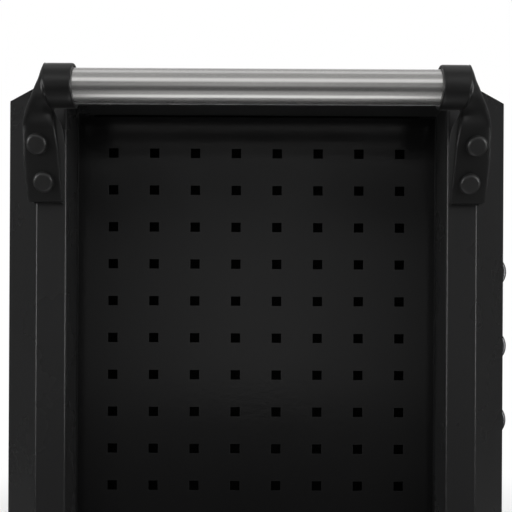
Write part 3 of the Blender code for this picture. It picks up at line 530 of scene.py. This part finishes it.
# Top: rings run from under the tray floor, up its wall, out under the rim, round the rim's edge, back in
# over the roll of the mouth and down to the tray floor; a folded rail hangs over each side recess.
def addTop():
    s = topSize
    matLow, matHigh = spot("top_mat")
    floor = matLow[2] - seat
    half = (matHigh - matLow)[:2] / 2 + s["mouthRoom"]
    cut = s["mouthCorner"] * s["cornerCut"]
    mouth = eightSided(half, cut, cut)
    under, over = caseTop - sheet, caseTop
    fillet, reach = s["floorRound"], s["floorReach"]
    wall = bentLine([(reach, floor - sheet), (-sheet, floor - sheet), (-sheet, under)], fillet)
    lip = slabEdge(under, over, s["edgeReach"], s["edgeRound"], 3)
    down = [(-s["rollReach"], over), (0, over), (0, floor), (reach, floor)]
    inside = bentLine(down, [s["mouthRoll"], fillet - sheet])

    def ring(corners, radius, inset, height):
        corner = max(radius - inset, s["leastCorner"])
        return onPlane(bentLine(drawnIn(corners, inset), corner, 5, True), height, "z")

    rings = [ring(mouth, s["mouthCorner"], i, z) for i, z in wall]
    rings += [ring(casePlan, s["rimCorner"], i, z) for i, z in lip]
    rings += [ring(mouth, s["mouthCorner"], i, z) for i, z in inside]
    shells = [ringLoft(rings)]
    fall = caseTop - s["railDrop"]
    fold = [(0, caseTop - sheet / 2), (0, fall), (lipIn - s["railShort"], fall)]
    rail = foldedSheet(fold, sheet, s["railBend"])
    long = halfDepth - returnBack - seat
    for sx in (-1, 1):
        flat = np.stack([caseMid[0] + sx * (halfWidth - rail[:, 0]), rail[:, 1]], -1)
        shells.append(carried(flat, caseMid[1] - long, caseMid[1] + long, "y"))
    addPiece("topTray", shells, bodyCoat, "cabinet", ["top_tray"])
    edges = slabEdge(matLow[2], matHigh[2], s["matReach"], s["matRounds"], 4)
    pad = boxLoft(rectangle(matLow, matHigh), s["matCorner"], edges, "z", 8)
    addPiece("trayMat", [pad], matRubber, "cabinet", ["top_mat"])


baseSize = {"sill": 0.0723, "sillEdge": 0.0004, "bend": 0.0018, "floorReach": 0.020, "corner": 0.004}


# Base pan: the case's eight-sided plan lofted up the wall and in over the sill, then back down inside.
def addBase():
    z0, z1 = baseLow[2], baseHigh[2]
    sill, reach = baseSize["sill"], baseSize["floorReach"]
    inner, edge = baseSize["bend"], baseSize["sillEdge"]
    outer = inner + sheet
    path = [
        (reach, z0), (0, z0), (0, z1), (sill, z1), (sill, z1 - sheet), (sheet, z1 - sheet),
        (sheet, z0 + sheet), (reach, z0 + sheet),
    ]
    profile = bentLine(path, [outer, outer, edge, edge, inner, inner], 5)
    pan = boxLoft(casePlan, baseSize["corner"], profile, "z")
    addPiece("basePan", [pan], bodyCoat, "cabinet", ["base_pan"])


backSize = {"flange": 0.015, "bend": 0.0016, "headerReturn": 0.018}


# Back and header: folded strips, one carried upwards and one carried across.
def addBackAndHeader():
    low, high = spot("back_panel")
    path = [
        (high[0], high[1] - backSize["flange"]), (high[0], high[1]), (low[0], high[1]),
        (low[0], high[1] - backSize["flange"]),
    ]
    back = carried(foldedSheet(path, sheet, backSize["bend"]), low[2], high[2], "z")
    addPiece("backPanel", [back], bodyCoat, "cabinet", ["back_panel"])
    low, high = spot("header_panel")
    deep = low[1] + backSize["headerReturn"]
    path = [(deep, high[2]), (low[1], high[2]), (low[1], low[2]), (deep, low[2])]
    header = carried(foldedSheet(path, sheet, backSize["bend"]), low[0], high[0], "x")
    addPiece("headerPanel", [header], bodyCoat, "cabinet", ["header_panel"])


lockSize = {
    "barrel": 0.0085, "barrelLong": 0.0255, "flange": 0.0115, "flangeBack": 0.0025, "plug": 0.0072,
    "slotLong": 0.0033, "slotWide": 0.0007, "slotPower": 0.3, "slotDeep": 0.004, "camDrop": 0.026,
    "camRise": 0.0043, "camHalf": 0.005, "camThick": 0.003, "camCorner": 0.003, "camEdge": 0.0004,
}


# Lock: a dished flange and plug whose rings close in on a key slot, (wide |cos t|^power, long sin t); the
# barrel and its cam lie behind.
def addLock():
    low, high = spot("lock_barrel")
    s = lockSize
    barrel, flange, plug = s["barrel"], s["flange"], s["plug"]
    centre = np.array([(low[0] + high[0]) / 2, high[2] - flange])
    t = np.linspace(0, 2 * np.pi, 48, endpoint=False)
    c, n = np.cos(t), np.sin(t)
    circle = np.stack([c, n], -1)
    slot = np.stack([s["slotWide"] * np.sign(c) * np.abs(c) ** s["slotPower"], s["slotLong"] * n], -1)
    turned = [
        (barrel, s["barrelLong"]), (barrel, s["flangeBack"]), (flange, s["flangeBack"]), (flange, 0.0009),
        (flange - 0.0003, 0.0003), (flange - 0.0009, 0), (plug + 0.0016, 0), (plug + 0.0004, 0.0008),
        (plug, 0.0009), (plug - 0.0002, 0.0005),
    ]
    steps = [(r * circle, deep) for r, deep in turned]
    steps += [(1.15 * slot, 0.0005), (slot, 0.0007), (slot, s["slotDeep"])]
    rings = [onPlane(flat + centre, low[1] + deep, "y") for flat, deep in steps]
    cam = rectangle(centre - (s["camHalf"], s["camDrop"]), centre + (s["camHalf"], s["camRise"]))
    edges = slabEdge(high[1] - s["camThick"], high[1], s["camCorner"], s["camEdge"], 2)
    shells = [ringLoft(rings), boxLoft(cam, s["camCorner"], edges, "y")]
    addPiece("lockBarrel", shells, zincSteel, "lock", ["lock_barrel"])


# The slide racks take the inner coat, whose extra darkness is painted shade behind the pegboard holes.
for hand in ("left", "right"):
    recoat(f"pegboard_{hand}", panelCoat)
    recoat(f"slide_rack_{hand}", innerCoatAndShade)
addPosts()
addTop()
addBase()
addBackAndHeader()
addLock()
print("case dressed")


drawerSize = {
    "reach": 0.012, "frontDeep": 0.018, "frontBend": 0.0014, "frontCorner": 0.0018, "frontEdge": 0.0004,
    "trayHalf": 0.2593, "trayLift": 0.006, "trayDrop": 0.013, "trayCorner": 0.005, "wall": 0.001,
    "wallBends": (0.0022, 0.0003, 0.0003, 0.0012), "runnerIn": 0.0715, "runnerSink": 0.0002,
    "runnerRise": 0.032, "runnerHalf": 0.0193, "runnerStart": 0.022, "runnerLong": 0.400,
    "runnerEdge": 0.0006, "hollowIn": 0.007, "hollowDeep": 0.004, "hollowSlope": 0.003,
}


# Drawer: a folded pan for the front, a thin tray and two runners with a hollow face.
def addDrawer(number):
    body = f"drawer_{number}"
    low, high = spot(body)
    s = drawerSize
    y0, y1 = low[1], low[1] + s["frontDeep"]
    reach, bend, edge = s["reach"], s["frontBend"], s["frontEdge"]
    path = [(reach, y0), (0, y0), (0, y1), (sheet, y1), (sheet, y0 + sheet), (reach, y0 + sheet)]
    fold = bentLine(path, [bend + sheet, edge, edge, bend])
    front = boxLoft(rectangle(low[[0, 2]], high[[0, 2]]), s["frontCorner"], fold, "y")
    z0, z1 = low[2] + s["trayLift"], high[2] - s["trayDrop"]
    w, far = s["wall"], s["trayHalf"]
    path = [(reach, z0), (0, z0), (0, z1), (w, z1), (w, z0 + w), (reach, z0 + w)]
    plan = rectangle((caseMid[0] - far, y0 + sheet / 2), (caseMid[0] + far, high[1]))
    tray = boxLoft(plan, s["trayCorner"], bentLine(path, s["wallBends"]), "z")
    addPiece(f"drawer{number}Box", [front, tray], bodyCoat, body, [body])
    near, half, level = halfWidth - s["runnerIn"], s["runnerHalf"], low[2] + s["runnerRise"]
    hollow = near - s["hollowDeep"]
    outer = half - s["hollowIn"]
    inner = outer - s["hollowSlope"]
    upper = [(hollow, inner), (near, outer), (near, half), (far - s["runnerSink"], half)]
    outline = bentLine([(a, -b) for a, b in upper[::-1]] + upper, s["runnerEdge"], 2, True)
    start = y0 + s["runnerStart"]
    runners = []
    for sx in (-1, 1):
        flat = np.stack([caseMid[0] + sx * outline[:, 0], level + outline[:, 1]], -1)
        runners.append(carried(flat, start, start + s["runnerLong"], "y"))
    addPiece(f"drawer{number}Runners", runners, zincSteel, body, [])


pullSize = {
    "wall": 0.002, "lipTurn": -38, "innerTurn": 78, "cap": 0.004, "capReach": 0.006,
    "capRounds": (0.0026, 0.0003),
}


# Pull: a D-shaped bow, (reach cos t, height sin t), hollow and open below, between two rounded end caps.
def addPull(number):
    node = f"drawer_{number}_pull"
    low, high = spot(node)
    reach, half = high[1] - low[1], (high[2] - low[2]) / 2
    level = (low[2] + high[2]) / 2
    wall, cap, lipTurn = pullSize["wall"], pullSize["cap"], pullSize["lipTurn"]

    def bow(inset, start, end, count):
        t = np.radians(np.linspace(start, end, count))
        return np.stack([high[1] - (reach - inset) * np.cos(t), level + (half - inset) * np.sin(t)], -1)

    inner = bow(wall, lipTurn, pullSize["innerTurn"], 24)
    tail = [(high[1] - wall, inner[-1][1]), (high[1] - wall, level - half), (high[1], level - half)]
    bar = np.vstack([bow(0, 90, lipTurn, 28), inner, tail])
    shells = [carried(bar, low[0] + cap / 2, high[0] - cap / 2, "x")]
    for outer, way in ((low[0], 1), (high[0], -1)):
        edges = slabEdge(outer, outer + way * cap, pullSize["capReach"], pullSize["capRounds"], 5)
        shells.append(ringLoft([onPlane(bow(i, 90, -90, 40), x, "x") for i, x in edges]))
    addPiece(f"drawer{number}Pull", shells, pullMetal, f"drawer_{number}", [node])


for number in range(1, 6):
    addDrawer(number)
    addPull(number)
    for hand in ("left", "right"):
        recoat(f"drawer_{number}_slide_{hand}", zincSteel)
print("drawers dressed")


handleSize = {
    "collar": 0.018, "collarLong": 0.0192, "bore": 0.0147, "armSetback": 0.0645, "bendDrop": 0.030,
    "footDrop": 0.105, "footRise": 0.0018, "footThick": 0.0085, "slope": 0.40, "footWall": 0.0014,
    "footBack": 0.0002, "footHollow": 0.010, "upperDrop": 0.057, "upperOffset": 0.0172, "lowerDrop": 0.087,
    "lowerOffset": 0.0146, "crease": 50, "sides": 64, "rowSteps": 8, "tubeWall": 0.0016, "tubeEdge": 0.0004,
}
tubeLow, tubeHigh = spot("handle_tube")
tubeRadius = (tubeHigh - tubeLow)[2] / 2
tubeMid = (tubeLow + tubeHigh) / 2
handleOut = caseMid[0] - halfWidth - tubeMid[0]
handleDrop = caseTop - tubeMid[2]
armInner = halfDepth - handleSize["armSetback"]


def footFace(z):
    return seat + handleSize["footThick"] + (z + handleSize["footDrop"]) * handleSize["slope"]


# Arm: superellipse sections (|a|^k + |b|^k = 1) along a line from the collar's mouth to the foot, their
# sizes and k blended between the rows below by a Catmull-Rom curve. Rows hold: inner corner outwards and
# upwards, turn, width, back, front and k. Five round rings close the mouth down to the bore, and two more
# rings, drawn in by the wall, leave the foot open below.
def bracketShell(sy):
    h = handleSize
    collar, bore = h["collar"], h["bore"]
    low = -handleDrop - collar
    wide = collar * 2
    near, far = handleOut - collar, handleOut + collar
    mouth = armInner - h["collarLong"]
    bend = -handleDrop - h["bendDrop"]
    foot = h["footRise"] - h["footDrop"]
    mid = -0.5 * (h["upperDrop"] + h["lowerDrop"])
    rows = np.array([
        (mouth + 0.0012, low, 0, wide, near, far, 2),
        (armInner - 0.002, low, 0, wide, near, far, 2),
        (armInner, low, 5, wide, near, far, 2),
        (armInner + 0.0002, low - 0.0003, 6.5, wide * 1.016, near - 0.0003, far + 0.0003, 2),
        (armInner + 0.0003, low, 8.5, wide * 0.955, near + 0.0003, far - 0.0007, 2.1),
        (armInner + 0.0003, low - 0.0006, 20, wide * 0.721, near - 0.001, far - 0.0020, 2.3),
        (armInner + 0.0004, low - 0.0010, 36, wide * 0.609, near - 0.003, far - 0.0055, 2.6),
        (armInner + 0.0006, low - 0.0014, 54, wide * 0.580, near - 0.007, far - 0.0110, 2.9),
        (armInner + 0.0008, low - 0.0026, 73, wide * 0.644, near - 0.014, far - 0.0190, 3.6),
        (armInner + 0.0008, low - 0.0046, 90, wide * 0.734, near - 0.022, footFace(low - 0.0046) + 0.003, 5),
        (armInner + 0.0006, bend, 90, wide * 0.798, seat, footFace(bend), 8),
        (armInner, -h["upperDrop"], 90, wide * 0.838, seat, footFace(-h["upperDrop"]), 12),
        (armInner, mid, 90, wide * 0.872, seat, footFace(mid), 12),
        (armInner, foot + 0.0038, 90, wide * 0.852, seat, footFace(foot + 0.0038), 12),
        (armInner + 0.0002, foot + 0.0010, 90, wide * 0.822, seat, footFace(foot + 0.0010) - 0.0004, 12),
        (armInner + 0.0008, foot, 90, wide * 0.762, seat, footFace(foot) - 0.0018, 12),
    ])
    knots = np.vstack([2 * rows[0] - rows[1], rows, 2 * rows[-1] - rows[-2]])
    t = np.linspace(0, len(rows) - 1, h["rowSteps"] * (len(rows) - 1) + 1)
    i = np.minimum(t.astype(int), len(rows) - 2)
    f = (t - i)[:, None]
    p0, p1, p2, p3 = (knots[i + k] for k in range(4))
    square, cube = (2 * p0 - 5 * p1 + 4 * p2 - p3) * f**2, (3 * p1 - p0 - 3 * p2 + p3) * f**3
    blended = 0.5 * (2 * p1 + (p2 - p0) * f + square + cube)
    y, z, turn, width, back, front, power = blended.T[:, :, None]
    angle = 2 * np.pi * (np.arange(h["sides"]) + 0.5) / h["sides"]
    c, s = np.cos(angle), np.sin(angle)
    across = np.sign(c) * np.abs(c) ** (2 / power) * width / 2
    out = np.sign(s) * np.abs(s) ** (2 / power) * (front - back) / 2 + (front + back) / 2
    turn = np.radians(turn)
    along = y + np.sin(turn) * (width / 2 + across)
    up = z + np.cos(turn) * (width / 2 + across)
    arm = np.stack([-halfWidth - out, sy * along, caseTop + up], -1)
    lip = np.array([
        (bore, 0.015), (bore, 0.0006), (bore + 0.0008, 0), (collar - 0.0009, 0), (collar - 0.0003, 0.0003),
    ])
    radius, inwards = lip[:, :1], mouth + lip[:, 1:] + 0 * s
    mouthRings = np.stack(
        [-halfWidth - handleOut - radius * s, sy * inwards, caseTop - handleDrop + radius * c], -1
    )
    edge, wall = arm[-1], h["footWall"]
    least, most = edge.min(0), edge.max(0)
    share = (edge - least)[:, :2] / (most - least)[:2]
    within = edge.copy()
    within[:, :2] = least[:2] + wall + share * ((most - least)[:2] - (wall + h["footBack"], 2 * wall))
    rings = np.vstack([mouthRings, arm, [within, within + (0, 0, h["footHollow"])]])
    rings[..., :2] += caseMid
    return ringLoft(rings)


boltSize = {
    "head": 0.009, "rise": 0.0045, "lift": 0.0004, "shank": 0.0029, "past": 0.0052, "nut": 0.0055,
    "nutBore": 0.003, "nutHigh": 0.0044,
    "dome": ((0.9, 0), (1, 0.0444), (1, 0.4), (0.96, 0.66), (0.87, 0.87), (0.74, 0.98), (0.6, 1)),
}


# Bolt: a flat-topped dome, in shares of its radius and rise, square to the arm's sloping face, with its
# shank and nut behind the post.
def boltShells(sy, drop, offset):
    b = boltSize
    points, quads, caps = spun(np.array(b["dome"]) * (b["head"], -b["rise"]), "x", (0, 0, 0), 40)
    tilt = np.arctan(handleSize["slope"])
    x, z = points[:, 0].copy(), points[:, 2].copy()
    points[:, 0] = x * np.cos(tilt) - z * np.sin(tilt)
    points[:, 2] = x * np.sin(tilt) + z * np.cos(tilt)
    side = caseMid[0] - halfWidth
    centre = np.array([side, caseMid[1] + sy * (armInner + offset), caseTop - drop])
    points += centre - (footFace(-drop) + b["lift"], 0, 0)
    inner = sheet + seat
    outer = inner + b["nutHigh"]
    nut = [(b["nutBore"], inner), (b["nut"], inner), (b["nut"], outer), (b["nutBore"], outer)]
    nut = spun(nut, "x", centre, 6)
    shank = spun([(b["shank"], -footFace(-drop)), (b["shank"], inner + b["past"])], "x", centre, 16)
    return [(points, quads, caps), nut, shank]


def addHandle():
    h = handleSize
    for end, sy in (("front", -1), ("rear", 1)):
        node = f"handle_bracket_{end}"
        addPiece(f"{end}Bracket", [bracketShell(sy)], moulding, "cabinet", [node], h["crease"])
        for place in ("upper", "lower"):
            shells = boltShells(sy, h[place + "Drop"], h[place + "Offset"])
            node = f"handle_bolt_{end}_{place}"
            addPiece(f"{end}{place.title()}Bolt", shells, boltCoat, "cabinet", [node])
    inner, outer, long = tubeRadius - h["tubeWall"], tubeRadius, tubeHigh[1] - tubeMid[1]
    wall = bentLine([(inner, -long), (outer, -long), (outer, long), (inner, long)], h["tubeEdge"], 3, True)
    pipe = spun(wall, "y", tubeMid, 96, True)
    addPiece("handleTube", [pipe], tubeSteel, "cabinet", ["handle_tube"])


addHandle()
print("side handle dressed")


wheelSize = {
    "tyreIn": 0.0455, "beadHalf": 0.0128, "halfWide": 0.016, "shoulder": 0.0085, "treadHalf": 0.0108,
    "tyreRounds": (0.001, 0.004, 0.005, 0.005, 0.004, 0.001), "bore": 0.0053, "hub": 0.016, "hubHalf": 0.0175,
    "webHalf": 0.005, "rimHalf": 0.0122, "coreRound": 0.0007, "ribs": 6, "ribHalf": 0.0018, "ribWide": 0.0108,
    "ribRound": 0.0005, "ribReach": 0.001,
}


# Wheel: tyre and core are closed profiles carried round the axle; flat ribs join hub and rim.
def addWheel(end, hand):
    node = f"caster_{end}_{hand}_wheel"
    low, high = spot(node)
    mid = (low + high) / 2
    r = (high - low)[2] / 2
    s = wheelSize
    hub, web, rim, tyreIn = s["hub"], s["webHalf"], s["rimHalf"], s["tyreIn"]
    half = [(tyreIn, s["beadHalf"]), (r - s["shoulder"], s["halfWide"]), (r, s["treadHalf"])]
    tread = [(a, -b) for a, b in half] + half[::-1]
    tyre = spun(bentLine(tread, s["tyreRounds"], 6, True), "y", mid, 96, True)
    half = [
        (s["bore"], s["hubHalf"]), (hub - 0.003, s["hubHalf"]), (hub, 0.0085), (hub + 0.002, web),
        (tyreIn - 0.006, web), (tyreIn - 0.004, rim), (tyreIn + 0.0006, rim),
    ]
    profile = [(a, -b) for a, b in half] + half[::-1]
    shells = [spun(bentLine(profile, s["coreRound"], 3, True), "y", mid, 96, True)]
    bar = rectangle((hub - 0.001, -s["ribHalf"]), (tyreIn - 0.003, s["ribHalf"]))
    edges = slabEdge(-s["ribWide"], s["ribWide"], s["ribReach"], s["ribRound"], 2)
    points, quads, caps = boxLoft(bar, s["ribRound"], edges, "y", 2)
    for turn in np.linspace(0, 2 * np.pi, s["ribs"], endpoint=False):
        c, n = np.cos(turn), np.sin(turn)
        x, y, z = points.T
        shells.append((np.stack([x * c - z * n, y, x * n + z * c], -1) + mid, quads, caps))
    body = f"wheel_{end}_{hand}"
    addPiece(f"{end}{hand.title()}Tyre", [tyre], tyreRubber, body, [node])
    addPiece(f"{end}{hand.title()}Core", shells, wheelCore, body)


hexSize = {"corner": 0.0004, "reach": 0.002, "rounds": (0.0003, 0.001)}


# Hexagon head from its seat to its top, with eased edges.
def hexHead(radius, centre, seatAt, top, axis, steps):
    edges = slabEdge(seatAt, top, hexSize["reach"], hexSize["rounds"], steps)
    return boxLoft(hexagon(radius, centre), hexSize["corner"], edges, axis, 2)


axleSize = {"shank": 0.0049, "head": 0.0085, "headHigh": 0.005}


# Axle bolt: a plain shank with a hexagon at each end.
def addAxle(end, hand):
    node = f"caster_{end}_{hand}_axle"
    low, high = spot(node)
    mid = (low + high) / 2
    r, near, far = axleSize["shank"], low[1] + axleSize["headHigh"], high[1] - axleSize["headHigh"]
    shells = [spun([(r, near), (r, far)], "y", mid * (1, 0, 1), 32)]
    for seatAt, top in ((near, low[1]), (far, high[1])):
        shells.append(hexHead(axleSize["head"], mid[[0, 2]], seatAt, top, "y", 3))
    body = f"swivel_{end}" if hand == "left" else "cabinet"
    addPiece(f"{end}{hand.title()}Axle", shells, zincSteel, body, [node])


plateSize = {
    "long": 0.100, "wide": 0.080, "thick": 0.003, "corner": 0.008, "edge": 0.0005, "edgeReach": 0.006,
    "bolt": 0.0068, "boltHigh": 0.0048, "boltIn": 0.011, "race": 0.028, "raceHigh": 0.010, "pin": 0.006,
    "nut": 0.0096, "nutHigh": 0.004, "nutIn": 0.004,
    "raceRounds": (0.0006, 0.001, 0.001, 0.001, 0.001, 0.0006, 0.0006, 0.0006, 0.0006),
}


def plateBolts(mid, level):
    s = plateSize
    spots = [(sx, sy) for sx in (-1, 1) for sy in (-1, 1)]
    away = np.array([s["long"], s["wide"]]) / 2 - s["boltIn"]
    return [hexHead(s["bolt"], mid + away * at, level, level - s["boltHigh"], "z", 2) for at in spots]


# Swivel plate: a rounded plate, the ball race turned below it, and the king pin's nut under the fork.
def addSwivelPlate(end):
    node = f"caster_{end}_left_plate"
    low, high = spot(node)
    mid = (low + high)[:2] / 2
    s = plateSize
    under = high[2] - s["thick"]
    edges = slabEdge(under, high[2], s["edgeReach"], s["edge"], 3)
    plate = boxLoft(rectangle(low[:2], high[:2]), s["corner"], edges, "z", 6)
    r, bottom, nutTop = s["race"], under - s["raceHigh"], low[2] + s["nutHigh"]
    path = [
        (0.020, under + 0.001), (r - 0.002, under + 0.001), (r - 0.002, under - 0.003), (r, under - 0.0045),
        (r, bottom + 0.002), (r - 0.003, bottom), (s["pin"], bottom), (s["pin"], nutTop), (s["nut"], nutTop),
        (s["nut"], low[2]), (s["nutIn"], low[2]),
    ]
    race = spun(bentLine(path, s["raceRounds"], 4), "z", (*mid, 0), 64)
    shells = [plate, race] + plateBolts(mid, under)
    addPiece(f"{end}SwivelPlate", shells, zincSteel, "cabinet", [node])


def addFixedBolts(end):
    low, high = spot(f"caster_{end}_right_fork")
    bolts = plateBolts((low + high)[:2] / 2, high[2] - plateSize["thick"])
    addPiece(f"{end}FixedBolts", bolts, zincSteel, "cabinet", [])


forkEase, pedalEase = 0.0006, 0.0012
for end in ("front", "rear"):
    addSwivelPlate(end)
    easedCopy(f"{end}SwivelFork", f"caster_{end}_left_fork", zincSteel, f"swivel_{end}", forkEase)
    easedCopy(f"{end}BrakePedal", f"caster_{end}_left_pedal", moulding, f"brake_{end}", pedalEase)
    easedCopy(f"{end}FixedFork", f"caster_{end}_right_fork", zincSteel, "cabinet", forkEase)
    addFixedBolts(end)
    for hand in ("left", "right"):
        addWheel(end, hand)
        addAxle(end, hand)
print("casters dressed")


studio = {
    "floorColour": (0.86, 0.86, 0.86), "floorHalf": 9.0, "fadeNear": 1.3, "fadeFar": 2.8, "ambient": 0.40,
    "lamps": (
        ("overhead", (-0.5, 0.0, 2.9), 2.0, 40.0),
        ("handleSideRear", (-1.8, 2.0, 1.7), 1.2, 16.0),
        ("handleSideFront", (-1.8, -2.0, 1.7), 1.2, 16.0),
        ("frontSide", (1.5, -2.2, 1.8), 1.6, 18.0),
        ("backSide", (1.2, 2.2, 1.9), 1.6, 15.0),
    ),
    "aim": (0.0, 0.0, 0.55),
    "cards": (
        ("overheadFar", (0.05, -1.6, 2.7), (1.4, 1.6, 2.7), 0.40),
        ("overhead", (-0.74, -1.6, 2.7), (0.05, 1.6, 2.7), 0.76),
        ("aboveCamera", (-2.64, -1.6, 2.7), (-0.74, 1.6, 2.7), 0.36),
        ("highBehindCamera", (-2.8, -2.6, 1.10), (-2.8, 2.6, 1.53), 0.28, 0.05),
        ("behindCamera", (-2.8, -2.6, 0.36), (-2.8, 2.6, 1.10), 0.44, 0.20),
        ("lowBehindCamera", (-2.8, -2.6, 0.01), (-2.8, 2.6, 0.36), 0.10),
        ("floorByCamera", (-2.8, -2.6, 0.01), (-1.28, 2.6, 0.01), 0.04),
        ("floorByHandle", (-1.28, -0.38, 0.01), (-0.66, 0.38, 0.01), 0.38),
        ("floorUnderHandle", (-0.66, -0.34, 0.01), (-0.37, 0.34, 0.01), 1.20),
        ("floorByRearArm", (-1.28, 0.38, 0.01), (-0.66, 1.5, 0.01), 0.10),
        ("floorByFrontArm", (-1.28, -1.5, 0.01), (-0.66, -0.38, 0.01), 0.10),
        ("floorByRearBracket", (-0.66, 0.34, 0.01), (-0.37, 1.5, 0.01), 0.12),
        ("floorByFrontBracket", (-0.66, -1.5, 0.01), (-0.37, -0.34, 0.01), 0.12),
        ("edgeRear", (-2.2, 2.0, 0.3), (-1.4, 2.0, 1.5), 10.0),
        ("edgeFront", (-2.2, -2.0, 0.3), (-1.4, -2.0, 1.5), 10.0),
        ("rearSide", (-2.8, 2.6, 0.01), (2.8, 2.6, 3.0), 0.30, 0.035),
        ("frontSide", (-2.8, -2.6, 0.01), (2.8, -2.6, 3.0), 0.30, 0.035),
        ("farSide", (2.8, -2.6, 0.01), (2.8, 2.6, 3.0), 0.40, 0.035),
        ("floorByRear", (-1.28, 1.5, 0.01), (2.8, 2.6, 0.01), 0.08),
        ("floorByFront", (-1.28, -2.6, 0.01), (2.8, -1.5, 0.01), 0.08),
        ("floorFar", (1.55, -1.5, 0.01), (2.8, 1.5, 0.01), 0.08),
        ("floorBesideRear", (-0.37, 0.25, 0.01), (1.55, 1.5, 0.01), 0.12),
        ("floorBesideFront", (-0.37, -1.5, 0.01), (1.55, -0.25, 0.01), 0.12),
    ),
    "cardReach": 0.9,
}


# One for rays that look at the set (straight, mirrored or let through) and nought for rays that light it.
def lookingRays(tree):
    path = put(tree, "LightPath")
    seen = put(tree, "Math", operation="MAXIMUM")
    seenToo = put(tree, "Math", operation="MAXIMUM")
    join(
        tree,
        (path.outputs["Is Camera Ray"], seen.inputs[0]),
        (path.outputs["Is Glossy Ray"], seen.inputs[1]),
        (seen.outputs[0], seenToo.inputs[0]),
        (path.outputs["Is Transmission Ray"], seenToo.inputs[1]),
    )
    return seenToo.outputs[0]


# Floor: plain diffuse near the cabinet, fading by distance into the white of the background.
def addFloor():
    mesh = bpy.data.meshes.new("floor")
    h = studio["floorHalf"]
    mesh.from_pydata([(-h, -h, 0), (h, -h, 0), (h, h, 0), (-h, h, 0)], [], [(0, 1, 2, 3)])
    look = bpy.data.materials.new("floorPaper")
    look.use_nodes = True
    tree = look.node_tree
    tree.nodes.clear()
    where = put(tree, "TexCoord")
    away = put(tree, "VectorMath", operation="LENGTH")
    span = {"From Min": studio["fadeNear"], "From Max": studio["fadeFar"]}
    fade = put(tree, "MapRange", span, interpolation_type="SMOOTHSTEP")
    share = put(tree, "Math", operation="MULTIPLY")
    paper = put(tree, "BsdfDiffuse", {"Color": (*studio["floorColour"], 1)})
    white = put(tree, "Emission", {"Color": (1, 1, 1, 1), "Strength": 1.0})
    mix = put(tree, "MixShader")
    out = put(tree, "OutputMaterial")
    join(
        tree,
        (where.outputs["Object"], away.inputs[0]),
        (away.outputs["Value"], fade.inputs[0]),
        (lookingRays(tree), share.inputs[0]),
        (fade.outputs[0], share.inputs[1]),
        (share.outputs[0], mix.inputs[0]),
        (paper.outputs[0], mix.inputs[1]),
        (white.outputs[0], mix.inputs[2]),
        (mix.outputs[0], out.inputs["Surface"]),
    )
    mesh.materials.append(look)
    floor = linked("floor", mesh)


# World: dim for rays that light the set, white for rays that look at it.
def addWorld():
    world = bpy.data.worlds.new("studio")
    world.use_nodes = True
    bpy.context.scene.world = world
    tree = world.node_tree
    tree.nodes.clear()
    soft = put(tree, "Background", {"Color": (1, 1, 1, 1), "Strength": studio["ambient"]})
    white = put(tree, "Background", {"Color": (1, 1, 1, 1), "Strength": 1.0})
    mix = put(tree, "MixShader")
    out = put(tree, "OutputWorld")
    join(
        tree,
        (lookingRays(tree), mix.inputs[0]),
        (soft.outputs[0], mix.inputs[1]),
        (white.outputs[0], mix.inputs[2]),
        (mix.outputs[0], out.inputs["Surface"]),
    )


# Grey cards round the set: flat sheets that only reflections meet, so that black stays black. Each glows
# at one tone, or goes over to a second one towards its ends.
def addCards():
    for name, low, high, *tones in studio["cards"]:
        low, high = np.array(low), np.array(high)
        flat = int(np.argmin(high - low))
        one, two = (k for k in range(3) if k != flat)
        corners = [low.copy() for _ in range(4)]
        corners[1][one] = corners[2][one] = high[one]
        corners[2][two] = corners[3][two] = high[two]
        mesh = bpy.data.meshes.new(name + "Card")
        mesh.from_pydata(corners, [], [(0, 1, 2, 3)])
        look = bpy.data.materials.new(name + "Card")
        look.use_nodes = True
        tree = look.node_tree
        tree.nodes.clear()
        where = put(tree, "TexCoord")
        parts = put(tree, "SeparateXYZ")
        aside = put(tree, "Math", operation="ABSOLUTE")
        span = {"From Min": 0.0, "From Max": studio["cardReach"], "To Min": tones[0], "To Max": tones[-1]}
        tone = put(tree, "MapRange", span, interpolation_type="SMOOTHSTEP")
        glow = put(tree, "Emission", {"Color": (1, 1, 1, 1)})
        out = put(tree, "OutputMaterial")
        join(
            tree,
            (where.outputs["Object"], parts.inputs[0]),
            (parts.outputs["X" if flat == 1 else "Y"], aside.inputs[0]),
            (aside.outputs[0], tone.inputs[0]),
            (tone.outputs[0], glow.inputs["Strength"]),
            (glow.outputs[0], out.inputs["Surface"]),
        )
        mesh.materials.append(look)
        card = linked(name + "Card", mesh)
        for ray in ("camera", "diffuse", "transmission", "volume_scatter", "shadow"):
            setattr(card, "visible_" + ray, False)


def addLamps():
    for name, place, size, power in studio["lamps"]:
        lamp = bpy.data.lights.new(name, "AREA")
        lamp.shape = "SQUARE"
        lamp.size = size
        lamp.energy = power
        made = linked(name, lamp)
        made.location = place
        made.rotation_mode = "QUATERNION"
        made.rotation_quaternion = (Vector(studio["aim"]) - Vector(place)).to_track_quat("-Z", "Y")
        made.visible_camera = False
        made.visible_glossy = False


camera = {
    "away": 0.674, "below": 0.202, "lens": 53.60, "sensor": 36, "rise": 0.1174, "roll": 0.29, "nearest": 0.02,
}


def addCamera():
    eye = bpy.data.cameras.new("camera")
    eye.sensor_width = camera["sensor"]
    eye.lens = camera["lens"]
    eye.shift_y = camera["rise"]
    eye.clip_start = camera["nearest"]
    made = linked("camera", eye)
    made.location = (caseMid[0] - halfWidth - camera["away"], caseMid[1], caseTop - camera["below"])
    level = Euler((np.pi / 2, 0, -np.pi / 2)).to_matrix()
    roll = Euler((0, 0, np.radians(camera["roll"]))).to_matrix()
    made.rotation_euler = (level @ roll).to_euler()
    bpy.context.scene.camera = made


addFloor()
addWorld()
addLamps()
addCards()
addCamera()
bpy.context.scene.view_settings.view_transform = "Standard"
print("studio set")
